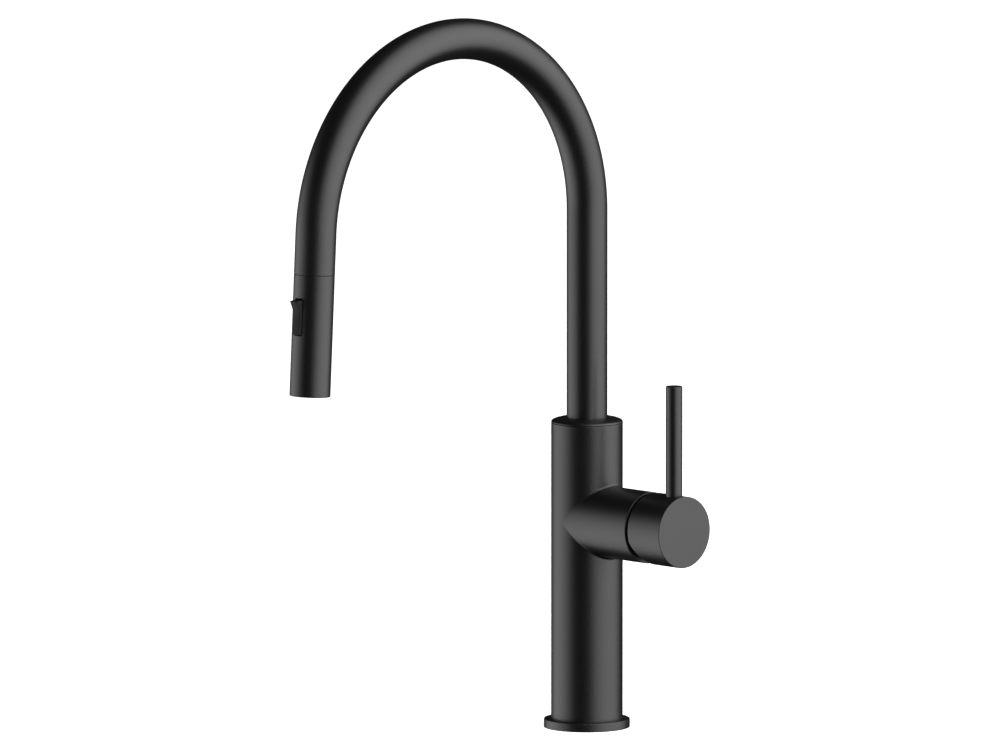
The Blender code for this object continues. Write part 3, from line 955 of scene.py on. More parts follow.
FINISH_OF = {
    Slot.COAT: COAT, Slot.TOGGLE: TOGGLE_ABS, Slot.BRASS: TURNED_BRASS, Slot.TRIM: TRIM, Slot.COPPER: COPPER,
    Slot.STAINLESS: STAINLESS, Slot.NICKEL: NICKEL, Slot.ACETAL: ACETAL, Slot.SPRAY: SPRAY_ABS,
    Slot.RUBBER: EPDM, Slot.SILICONE: SILICONE,
}


def mount(piece: bpy.types.Object, body: Body, slot: Slot, *nodes: str) -> bpy.types.Object:
    """Gives a piece its finish and its body, and hides the CAD nodes that it stands for.

    Args:
        piece: The piece.
        body: The body that it rides on.
        slot: The record's slot, which picks the finish. A slot with no finish of its own leaves the piece's
            materials as they are.
        *nodes: The CAD nodes that it replaces. With none, it replaces the node of its own name.

    Returns:
        The same piece.
    """
    if slot in FINISH_OF:
        piece.data.materials.clear()
        piece.data.materials.append(material_of(FINISH_OF[slot]))
    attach(piece, body.value)
    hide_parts(*(nodes or (piece.name.removesuffix("_skin"),)))
    return piece


def dress(finish: Finish, *nodes: str) -> None:
    """Gives CAD nodes that stay as they are a finish.

    Args:
        finish: The finish.
        *nodes: The nodes' names.
    """
    for node in nodes:
        data = frame["nodes"][node].data
        data.materials.clear()
        data.materials.append(material_of(finish))


class Assembly(Protocol):
    """A sub-assembly that main builds."""

    def build(self) -> list[bpy.types.Object]:
        """Builds and dresses the pieces."""
        ...


# The sub-assemblies


@dataclass
class DeckFixing:
    """The flange ring on the worktop, and the shank, washers, nut and screws that clamp it from below."""

    ring_radius: float = 27 * MM
    ring_height: float = 5.5 * MM
    shank_radius: float = 17 * MM
    shank_bore: float = 15.2 * MM
    shank_top: float = 13.7 * MM
    shank_pitch: float = 1.5 * MM
    thread_depth: float = 0.85 * MM
    nut_across: float = 50 * MM
    screw_radius: float = 2.5 * MM
    screw_circle: float = 22.2 * MM

    def build(self) -> list[bpy.types.Object]:
        """Builds the ring, the gasket and everything under the worktop."""
        return [self.ring(), self.gasket(), self.shank(), *self.washers(), self.nut(), *self.screws()]

    def ring(self) -> bpy.types.Object:
        """The flange ring, with the gasket's groove under it."""
        radius, height = self.ring_radius / MM, self.ring_height / MM
        outline = corners(
            (17.5, 0), (19, 0), (19, 1.4), (25, 1.4), (25, 0, 0.1), (radius, 0, 0.35), (radius, height, 0.45),
            (22.56, height, 0.1), (22.56, 2), (17.5, 2),
        )
        return mount(turn("base_ring_skin", soften(outline), sides=128), Body.COLUMN, Slot.COAT)

    def gasket(self) -> bpy.types.Object:
        """The flat gasket in the ring's groove, with a raised bead."""
        outline = corners((19.3, 0, 0.3), (24.7, 0, 0.3), (24.7, 1.1, 0.3), (19.3, 1.1, 0.3))
        return mount(turn("deck_gasket_skin", soften(outline)), Body.COLUMN, Slot.RUBBER)

    def shank(self) -> bpy.types.Object:
        """The threaded shank, with a real thread along all of its free length."""
        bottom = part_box("threaded_shank")[0].z
        lead = 1 * MM
        outline = [
            (self.shank_bore, bottom), (self.shank_radius - lead, bottom), (self.shank_radius, bottom + lead),
            (self.shank_radius, self.shank_top), (self.shank_bore, self.shank_top),
        ]
        fine = refine(outline, self.shank_pitch / 6)
        cut = thread(self.shank_radius, self.shank_pitch, self.thread_depth, bottom + lead, 0)
        piece = turn("threaded_shank_skin", fine, sides=72, shape=cut)
        shade(piece, 60)
        return mount(piece, Body.COLUMN, Slot.BRASS)

    def washers(self) -> list[bpy.types.Object]:
        """The rubber washer under the worktop and the steel one under it."""
        pieces = []
        for node, slot, edge in (("rubber_washer", Slot.RUBBER, 0.6), ("steel_washer", Slot.STAINLESS, 0.3)):
            low, high = (corner.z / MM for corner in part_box(node))
            outer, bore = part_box(node)[1].x / MM, self.shank_radius / MM + 0.3
            outline = corners((bore, low, edge), (outer, low, edge), (outer, high, edge), (bore, high, edge))
            pieces.append(mount(turn(node + "_skin", soften(outline)), Body.COLUMN, slot))
        return pieces

    def nut(self) -> bpy.types.Object:
        """The hexagon lock nut, chamfered at both ends, with the two screws' holes."""
        low, high = (corner.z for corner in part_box("lock_nut"))
        bore, corner = self.shank_radius + 0.3 * MM, self.nut_across / 2 / cos(pi / 6)
        chamfer = 0.6 * MM
        outline = [
            (bore, low + chamfer), (bore + chamfer, low), (self.nut_across / 2 * HEX_END, low), (corner, low),
            *((corner, low + (high - low) * step / 24) for step in range(1, 24)),
            (corner, high), (self.nut_across / 2 * HEX_END, high), (bore + chamfer, high), (bore, high - chamfer),
        ]
        flats = hexagon(self.nut_across, self.nut_across / 2 * HEX_BORE, low, high)
        piece = turn("lock_nut_skin", outline, sides=96, shape=flats)
        holes = []
        for side in (-1, 1):
            place = straight(Matrix.Translation((0, side * self.screw_circle, 0)))
            holes.append(turn("screw_hole", bar(self.screw_radius + 0.1 * MM, low - MM, high + MM), place, 32))
        return mount(carve(piece, Carve.CUT, *holes), Body.COLUMN, Slot.BRASS)

    def screws(self) -> list[bpy.types.Object]:
        """The two hexagon headed screws that push the washer against the worktop."""
        pieces = []
        for side, node in ((-1, "clamp_screw_front"), (1, "clamp_screw_back")):
            low, high = (corner.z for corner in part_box(node))
            head, across = low + 3 * MM, 6.9 * MM
            radius, corner = self.screw_radius, across / 2 / cos(pi / 6)
            outline = refine([
                (0, low), (across / 2 * HEX_END, low), (corner, low), (corner, head), (radius, head),
                (radius, high - 0.5 * MM), (radius - 0.5 * MM, high), (0, high),
            ], 0.13 * MM)
            outline = outline[:1] + [point for point in outline if point[0] > 1e-9] + [(0, high)]
            flats = hexagon(across, across / 2 * HEX_BORE, low, head)
            cut = thread(radius, 0.8 * MM, 0.42 * MM, head + 0.5 * MM, high)

            def both(angle: float, out: float, along: float) -> tuple[float, float]:
                """Cuts the head's flats, and the thread in what is no wider than the shaft."""
                shaped = flats(angle, out, along)
                return cut(angle, *shaped) if out <= radius else shaped

            place = straight(Matrix.Translation((0, side * self.screw_circle, 0)))
            piece = turn(node + "_skin", outline, place, 48, both)
            shade(piece, 60)
            pieces.append(mount(piece, Body.COLUMN, Slot.STAINLESS))
        return pieces


@dataclass
class BodyCasting:
    """The upright column with its side branch, cast as one and finished with a small fillet where they meet."""

    fillet: float = 1.6 * MM
    edge: float = 0.4 * MM
    column_bore: float = 19.9 * MM
    branch_bore: float = 19.2 * MM
    shank_hole: float = 17.3 * MM
    floor: float = 14 * MM
    sides: int = 160
    fillet_steps: int = 8
    support: float = 0.25 * MM  # the width of the narrow faces that keep long faces flat
    radius: float = field(init=False)
    foot: float = field(init=False)
    top: float = field(init=False)
    reach: float = field(init=False)
    height: float = field(init=False)

    def __post_init__(self) -> None:
        """Reads the casting's outer sizes from the model."""
        low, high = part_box("body_shell")
        self.radius, self.foot, self.top, self.reach = high.y, low.z, high.z, high.x
        self.height = joint("lever_turn")["pos_m"][2]

    def build(self) -> list[bpy.types.Object]:
        """Builds the casting and bores it."""
        piece = mesh_object("body_shell_skin", *self.outside())
        face_outwards(piece, 1e-7)
        mouth = 0.25 * MM
        column = [
            (0, self.floor), (self.column_bore, self.floor), (self.column_bore, self.top - mouth),
            (self.column_bore + 2 * mouth, self.top + mouth), (0, self.top + mouth),
        ]
        shank = [(0, -MM), (self.shank_hole, -MM), (self.shank_hole, self.floor + MM), (0, self.floor + MM)]
        branch = [
            (0, 0), (self.branch_bore, 0), (self.branch_bore, self.reach - mouth),
            (self.branch_bore + 2 * mouth, self.reach + mouth), (0, self.reach + mouth),
        ]
        carve(piece, Carve.CUT, turn("column_bore", column), turn("shank_hole", shank),
              turn("branch_bore", branch, straight(lever_frame())))
        dress(TURNED_BRASS, "swivel_sleeve")
        return [mount(piece, Body.COLUMN, Slot.COAT)]

    def outside(self) -> tuple[list[Vector], list[list[int]]]:
        """Makes the outer skin: both cylinders, their rounded ends and the rolling ball fillet between them.

        A ball of the fillet's radius that touches both cylinders has its centre on two cylinders of the larger
        radius ball. Where it touches each of them is where the fillet starts and ends.

        Returns:
            The points and the faces, not yet welded.
        """
        ball = self.radius + self.fillet
        points: list[Vector] = []
        faces: list[list[int]] = []

        def lay(rows: Sequence[Sequence[Vector]], closed: bool = False) -> None:
            """Fills a grid of points with faces.

            Args:
                rows: The rows of points, all of one length.
                closed: Whether each row's last point joins its first.
            """
            start, width = len(points), len(rows[0])
            for row in rows:
                points.extend(row)
            for level in range(len(rows) - 1):
                for index in range(width if closed else width - 1):
                    after = (index + 1) % width
                    low, high = start + level * width, start + (level + 1) * width
                    faces.append([low + index, low + after, high + after, high + index])

        def on_column(angle: float, height: float, inset: float = 0.0) -> Vector:
            """The column's point at this angle and height, this far under its wall."""
            radius = self.radius - inset
            return Vector((radius * sin(angle), -radius * cos(angle), height))

        def on_branch(angle: float, out: float, inset: float = 0.0) -> Vector:
            """The branch's point at this angle and distance out, this far under its wall."""
            radius = self.radius - inset
            return Vector((out, -radius * cos(angle), self.height + radius * sin(angle)))

        turns = [tau * index / self.sides for index in range(self.sides)]
        half = turns[:self.sides // 2 + 1]
        bends = [pi / 2 * step / 4 for step in range(5)]
        lip = [(self.edge * (1 - cos(bend)), self.edge * (1 - sin(bend))) for bend in bends]

        # The column above and below the branch. Behind it, the two meet at the branch's height.
        for way, end in ((1, self.top), (-1, self.foot)):
            gap = [ball * max(0.0, sin(angle)) for angle in turns]
            near = [on_column(a, self.height + way * g) for a, g in zip(turns, gap)]
            held = [on_column(a, self.height + way * (g + self.support)) for a, g in zip(turns, gap)]
            last = [on_column(a, end - way * (self.edge + self.support)) for a in turns]
            rim = [[on_column(a, end - way * low, inset) for a in turns] for inset, low in lip]
            flat = [on_column(a, end, self.edge + self.support) for a in turns]
            middle = [Vector((0, 0, end)) for _ in turns]
            lay([near, held, last, *rim, flat, middle], closed=True)

        # The branch, from the fillet to its rounded mouth.
        gap = [ball * abs(sin(angle)) for angle in turns]
        near = [on_branch(a, g) for a, g in zip(turns, gap)]
        held = [on_branch(a, g + self.support) for a, g in zip(turns, gap)]
        last = [on_branch(a, self.reach - self.edge - self.support) for a in turns]
        rim = [[on_branch(a, self.reach - low, inset) for a in turns] for inset, low in lip]
        flat = [on_branch(a, self.reach, self.edge + self.support) for a in turns]
        middle = [Vector((self.reach, 0, self.height)) for _ in turns]
        lay([near, held, last, *rim, flat, middle], closed=True)

        # The fillet, above and below.
        for way in (1, -1):
            rows = []
            for angle in half:
                centre = Vector((ball * sin(angle), -ball * cos(angle), self.height + way * ball * sin(angle)))
                start = on_column(angle, centre.z) - centre
                end = on_branch(way * angle, centre.x) - centre
                if start.angle(end) < 1e-4:
                    rows.append([centre + start] * (self.fillet_steps + 1))
                    continue
                rows.append([
                    centre + swing(start, end, step / self.fillet_steps) for step in range(self.fillet_steps + 1)
                ])
            lay(rows)
        return points, faces


@dataclass
class SpoutTube:
    """The gooseneck, the collar at its foot and the magnetic dock in its open end."""

    arc_radius: float = 117.65 * MM
    end_run: float = 25.3 * MM
    bore: float = 11.6 * MM
    foot: float = 156 * MM
    seam_gap: float = 0.12 * MM
    lip: float = 0.3 * MM
    arc_step: float = 2.2 * MM
    radius: float = field(init=False)
    sweep: float = field(init=False)
    spring: float = field(init=False)

    def __post_init__(self) -> None:
        """Works the arc out from where the model puts the seam and which way the head points there."""
        seam = head_frame()
        down = seam.col[2].to_3d()
        self.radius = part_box("spout_tube")[1].x
        self.sweep = atan2(-down.y, down.z)
        end = seam.translation - down * self.end_run
        self.spring = end.z - self.arc_radius * sin(self.sweep)

    def build(self) -> list[bpy.types.Object]:
        """Builds the tube, the collar and the dock, and dresses the bushes that it turns in."""
        dress(ACETAL, "lower_bush", "upper_bush")
        dress(EPDM, "swivel_oring")
        dress(STAINLESS, "snap_ring")
        return [self.tube(), self.collar(), self.dock_ring(), self.dock_magnet()]

    def route(self, along: float) -> Matrix:
        """The tube's centre line.

        Args:
            along: The distance past the spring of the arc, which is negative on the upright.

        Returns:
            The frame there, whose local Z runs along the tube.
        """
        if along <= 0:
            return Matrix.Translation((0, 0, self.spring + along))
        angle = min(along / self.arc_radius, self.sweep)
        centre = Vector((0, self.arc_radius * (cos(angle) - 1), self.spring + self.arc_radius * sin(angle)))
        beyond = along - angle * self.arc_radius
        turned = Matrix.Rotation(angle, 4, "X")
        return Matrix.Translation(centre) @ turned @ Matrix.Translation((0, 0, beyond))

    def length(self) -> float:
        """The distance along the centre line from the spring of the arc to the seam."""
        return self.sweep * self.arc_radius + self.end_run

    def stations(self, start: float, end: float) -> list[float]:
        """Picks distances along the route, close together on the arc.

        Args:
            start: The first distance.
            end: The last.

        Returns:
            All of them, in order.
        """
        arc = self.sweep * self.arc_radius
        count = ceil(arc / self.arc_step)
        inner = [arc * index / count for index in range(count + 1)]
        return [start] + [along for along in inner if start < along < end] + [end]

    def tube(self) -> bpy.types.Object:
        """The bent tube, with both edges of its open end rounded."""
        start, end = self.foot - self.spring, self.length() - self.seam_gap
        rim = soften([
            Corner(self.bore, end - 4 * MM), Corner(self.radius, end - 4 * MM),
            Corner(self.radius, end, self.lip), Corner(self.bore, end, self.lip),
        ])[2:]
        outer = [(self.radius, along) for along in self.stations(start, end - 4 * MM)]
        inner = [(self.bore, along) for along in reversed(self.stations(start, end - 4 * MM))]
        piece = turn("spout_tube_skin", outer + rim + inner, self.route, 96)
        return mount(piece, Body.SPOUT, Slot.COAT)

    def collar(self) -> bpy.types.Object:
        """The shallow dome between the column's top and the tube."""
        low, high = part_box("spout_collar")
        edge, hole = 0.3 * MM, self.radius + 0.03 * MM
        rise, span = high.z - low.z - edge, high.y - hole
        steps = 14
        dome = [
            (hole + span * cos(pi / 2 * step / steps), low.z + edge + rise * sin(pi / 2 * step / steps))
            for step in range(steps + 1)
        ]
        outline = [(hole, low.z), (high.y - 0.1 * MM, low.z), (high.y, low.z + 0.1 * MM), *dome]
        return mount(turn("spout_collar_skin", outline, sides=128), Body.SPOUT, Slot.COAT)

    def dock_ring(self) -> bpy.types.Object:
        """The plastic guide in the tube's end, flared towards the hose."""
        outline = corners((11.3, -24, 0.3), (11.3, -8, 0.2), (8.3, -8, 0.2), (8.3, -22), (9.8, -24, 0.3))
        piece = turn("dock_ring_skin", soften(outline), straight(head_frame()))
        return mount(piece, Body.SPOUT, Slot.ACETAL)

    def dock_magnet(self) -> bpy.types.Object:
        """The ring magnet that holds the head."""
        outline = corners((8.3, -7.7, 0.3), (11.3, -7.7, 0.3), (11.3, -1, 0.4), (8.3, -1, 0.4))
        piece = turn("dock_magnet_skin", soften(outline), straight(head_frame()))
        return mount(piece, Body.SPOUT, Slot.NICKEL)


@dataclass
class SprayHose:
    """The braided hose inside the spout, with its connector below and its ferrule and fitting in the head."""

    spout: SpoutTube
    radius: float = 6 * MM
    ferrule_start: float = -16 * MM
    pull_lead: float = 24 * MM  # how far before the ferrule the hose starts to pay out

    def build(self) -> list[bpy.types.Object]:
        """Builds the hose and what is on its ends."""
        return [self.held(), self.paid_out(), self.connector(), self.ferrule(), self.fitting()]

    def ends(self) -> tuple[float, float, float]:
        """Finds the hose's three ends along the route.

        Returns:
            Where it starts below the shank, where the stretch that pays out starts, and where it ends.
        """
        end = self.spout.length() + self.ferrule_start - 0.3 * MM
        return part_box("spray_hose")[0].z - self.spout.spring, end - self.pull_lead - 3 * MM, end

    def held(self) -> bpy.types.Object:
        """The long stretch that stays in the spout and the column."""
        start, split, _ = self.ends()
        outline = [(0, start), *((self.radius, along) for along in self.spout.stations(start, split)), (0, split)]
        piece = turn("spray_hose_skin", outline, self.spout.route, 48)
        piece.data.materials.append(material_of(Braid("black_nylon_braid", head_frame())))
        piece.data.materials.append(material_of(Braid("black_nylon_braid_below", Matrix())))
        for face in piece.data.polygons:
            face.material_index = 1 if face.center.z < self.spout.spring and face.center.y > -0.05 else 0
        return mount(piece, Body.SPOUT, Slot.BRAID, "spray_hose")

    def paid_out(self) -> bpy.types.Object:
        """The short stretch above the ferrule, built where it lies at rest."""
        _, split, end = self.ends()
        start, count = split + 0.05 * MM, 90
        wall = [(self.radius, start + (end - start) * index / count) for index in range(count + 1)]
        piece = turn("spray_hose_end_skin", [(0, start), *wall, (0, end)], self.spout.route, 48)
        piece.data.materials.append(material_of(Braid("black_nylon_braid", head_frame())))
        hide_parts("spray_hose")
        place = straight(head_frame())
        tuple(place(self.ferrule_start - self.pull_lead).translation)
        tuple(place(self.ferrule_start - 1 * MM).translation)
        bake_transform(piece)
        return piece

    def connector(self) -> bpy.types.Object:
        """The brass plug below the worktop, with a hexagon and a groove for its seal."""
        low, high = (corner.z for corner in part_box("hose_connector"))
        plug, collar = 4.6 * MM, 7 * MM
        waist = high - 8 * MM
        grooves = [(plug, low + 0.5 * MM), (plug, low + 3 * MM), (plug - MM, low + 3.1 * MM),
                   (plug - MM, low + 5 * MM), (plug, low + 5.1 * MM), (plug, waist)]
        barrel = [(collar, waist + (high - waist) * step / 16) for step in range(17)]
        outline = [(0, low), (plug - 0.5 * MM, low), *grooves, *barrel, (0, high)]
        flats = hexagon(2 * collar * cos(pi / 6), collar * 0.8, waist, high)
        return mount(turn("hose_connector_skin", outline, shape=flats), Body.SPOUT, Slot.BRASS)

    def ferrule(self) -> bpy.types.Object:
        """The steel ferrule that is crimped on the hose's end."""
        outline = corners(
            (0, -16), (6.2, -16, 0.2), (7, -15.2, 0.3), (7, -12.5, 0.3), (6.4, -12, 0.2), (6.4, -10.4, 0.2),
            (7, -9.9, 0.3), (7, -8, 0.3), (6.4, -7.5, 0.2), (6.4, -5.9, 0.2), (7, -5.4, 0.3), (7, 1, 0.4), (0, 1),
        )
        piece = turn("hose_ferrule_skin", soften(outline, 3), straight(head_frame()))
        return mount(piece, Body.HOSE_END, Slot.STAINLESS)

    def fitting(self) -> bpy.types.Object:
        """The swivelling end that plugs into the head."""
        outline = corners(
            (0, 1.3), (8, 1.3, 0.3), (8, 5, 0.4), (4.4, 5, 0.2), (4.4, 7, 0.15), (3.4, 7, 0.15), (3.4, 9, 0.15),
            (4.4, 9, 0.15), (4.4, 10.5, 0.3), (0, 10.5),
        )
        piece = turn("swivel_fitting_skin", soften(outline, 3), straight(head_frame()))
        dress(EPDM, "fitting_oring")
        return mount(piece, Body.HOSE_END, Slot.BRASS)


@dataclass
class SprayHead:
    """The docked head: its sleeve, the magnet's keeper, the spray face with its nozzles, and the rocker."""

    length: float = 76 * MM
    bore: float = 11.5 * MM
    lip: float = 0.3 * MM
    face_low: float = 69.3 * MM
    face_high: float = 75 * MM
    slot: tuple[float, float] = (14.4 * MM, 38 * MM)
    slot_width: float = 7 * MM
    toggle_width: float = 6.3 * MM
    nozzle_rings: tuple[tuple[float, int], ...] = ((7.7 * MM, 14), (9.9 * MM, 18))
    radius: float = field(init=False)

    def __post_init__(self) -> None:
        """Reads the sleeve's radius from the model."""
        self.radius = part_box("head_shell")[1].x

    def build(self) -> list[bpy.types.Object]:
        """Builds the head's visible pieces, and dresses what stays inside it."""
        dress(SPRAY_ABS, "head_core", "check_valve", "diverter_spool")
        dress(EPDM, "core_oring")
        dress(STAINLESS, "toggle_pin")
        return [self.shell(), self.keeper(), self.face(), self.nozzles(), self.aerator(), self.toggle()]

    def shell(self) -> bpy.types.Object:
        """The sleeve, with both ends rounded and a slot with milled corners for the rocker."""
        edge = self.lip
        outline = [
            Corner(self.bore, 0, edge), Corner(self.radius, 0, edge), Corner(self.radius, self.length, 0.35 * MM),
            Corner(self.bore, self.length, 0.35 * MM),
        ]
        piece = turn("head_shell_skin", soften(outline), straight(head_frame()), 96)
        half = self.slot_width / 2
        slot = rounded_box("slot", (-half, 5 * MM, self.slot[0]), (half, 20 * MM, self.slot[1]), MM, head_frame())
        return mount(carve(piece, Carve.CUT, slot), Body.HEAD, Slot.COAT)

    def keeper(self) -> bpy.types.Object:
        """The plated ring that the dock's magnet pulls."""
        outline = corners((9.2, 0.3, 0.3), (11.2, 0.3, 0.3), (11.2, 2.2, 0.2), (9.2, 2.2, 0.2))
        piece = turn("keeper_ring_skin", soften(outline, 3), straight(head_frame()))
        return mount(piece, Body.HEAD, Slot.NICKEL)

    def nozzle_places(self) -> Iterable[tuple[float, float]]:
        """The (x, y) places of the nozzles round the aerator."""
        for circle, count in self.nozzle_rings:
            for index in range(count):
                angle = tau * (index + 0.5) / count
                yield circle * cos(angle), circle * sin(angle)

    def many(self, name: str, outline: Outline, sides: int) -> bpy.types.Object:
        """The same small turned shape at every nozzle, as one object.

        Args:
            name: The object's name.
            outline: Its outline, from axis to axis, in the head's frame.
            sides: How many sides each has.

        Returns:
            The object that holds them all.
        """
        points: list[Vector] = []
        faces: list[list[int]] = []
        for x, y in self.nozzle_places():
            one = turn(name, outline, straight(head_frame() @ Matrix.Translation((x, y, 0))), sides)
            start = len(points)
            points += [vertex.co.copy() for vertex in one.data.vertices]
            faces += [[start + number for number in face.vertices] for face in one.data.polygons]
            bpy.data.objects.remove(one, do_unlink=True)
        return mesh_object(name, points, faces)

    def face(self) -> bpy.types.Object:
        """The slightly dished face plate, drilled for the nozzles."""
        outline = corners((6.2, 69.3), (11.2, 69.3), (11.2, 75, 0.5), (8.8, 74.6), (6.2, 75, 0.3))
        piece = turn("spray_face_skin", soften(outline), straight(head_frame()))
        low, high, radius = self.face_low - MM, self.face_high + MM, 0.72 * MM
        drills = self.many("drills", bar(radius, low, high), 20)
        return mount(carve(piece, Carve.CUT, drills), Body.HEAD, Slot.SPRAY)

    def nozzles(self) -> bpy.types.Object:
        """The silicone mat, with a nozzle through each hole of the face, each with its own fine bore."""
        outline = corners((6.2, 64.7, 0.2), (10.9, 64.7, 0.2), (10.9, 69, 0.2), (6.2, 69, 0.2))
        piece = turn("nozzle_mat_skin", soften(outline, 3), straight(head_frame()))
        tip, root = 75.5 * MM, 68.5 * MM
        nozzle = [(0, root), (0.62 * MM, root), (0.55 * MM, tip - 0.2 * MM), (0.42 * MM, tip), (0.22 * MM, tip),
                  (0.2 * MM, tip - 1.2 * MM), (0, tip - 1.2 * MM)]
        carve(piece, Carve.JOIN, self.many("nozzle_tips", nozzle, 20))
        return mount(piece, Body.HEAD, Slot.SILICONE)

    def aerator(self) -> bpy.types.Object:
        """The aerator's cup, notched for its key, with a honeycomb inside."""
        outline = corners((4.7, 64.7), (5.9, 64.7), (5.9, 75.2, 0.3), (4.7, 75.2, 0.2))
        piece = turn("aerator_skin", soften(outline, 3), straight(head_frame()))
        comb = turn("comb", bar(4.9 * MM, 72 * MM, 74.2 * MM), straight(head_frame()), 96)
        cells, pitch, reach = [], 1.5 * MM, 3.9 * MM
        radius = 1.22 * MM / 2 / cos(pi / 6)
        for row in range(-3, 4):
            for column in range(-3, 4):
                x, y = pitch * (column + row / 2), pitch * row * sqrt(3) / 2
                if hypot(x, y) > reach:
                    continue
                place = straight(head_frame() @ Matrix.Translation((x, y, 0)) @ Matrix.Rotation(pi / 6, 4, "Z"))
                cells.append(turn("cell", bar(radius, 71 * MM, 75 * MM), place, 6))
        carve(comb, Carve.CUT, *cells)
        notches = [
            rounded_box("notch", (-0.7 * MM, 3 * MM, 74.4 * MM), (0.7 * MM, 7 * MM, 77 * MM), 0.3 * MM,
                        head_frame() @ Matrix.Rotation(tau * turn_share / 8, 4, "Z"))
            for turn_share in range(8)
        ]
        carve(piece, Carve.CUT, *notches)
        carve(piece, Carve.JOIN, comb)
        return mount(piece, Body.HEAD, Slot.SPRAY)

    def toggle(self) -> bpy.types.Object:
        """The rocker: a thumb ledge at its top, a long hollow face and a tail that moves the spool."""
        skin, out = self.radius / MM, 8.0
        low_y = out + 0.6
        face = [
            (15.6, low_y), (15.4, skin + 0.3), (16.1, skin + 5.0), (16.9, skin + 4.5), (19, skin + 3.4),
            (21.6, skin + 2.2), (24.4, skin + 1.6), (27, skin + 1.48), (30, skin + 1.45), (34, skin + 1.55),
            (37.3, skin + 1.7), (37.3, low_y), (30.5, out - 2), (22.5, out - 2),
        ]
        outline = [(along * MM, height * MM) for along, height in face]
        piece = extrude("spray_toggle_skin", outline, self.toggle_width, head_frame())
        bevel(piece, 0.45 * MM, 4)
        tail = rounded_box("tail", (-1.4 * MM, 4 * MM, 25.1 * MM), (1.4 * MM, 6.5 * MM, 27.9 * MM), 0.3 * MM,
                           head_frame())
        carve(piece, Carve.JOIN, tail)
        return mount(piece, Body.TOGGLE, Slot.TOGGLE)


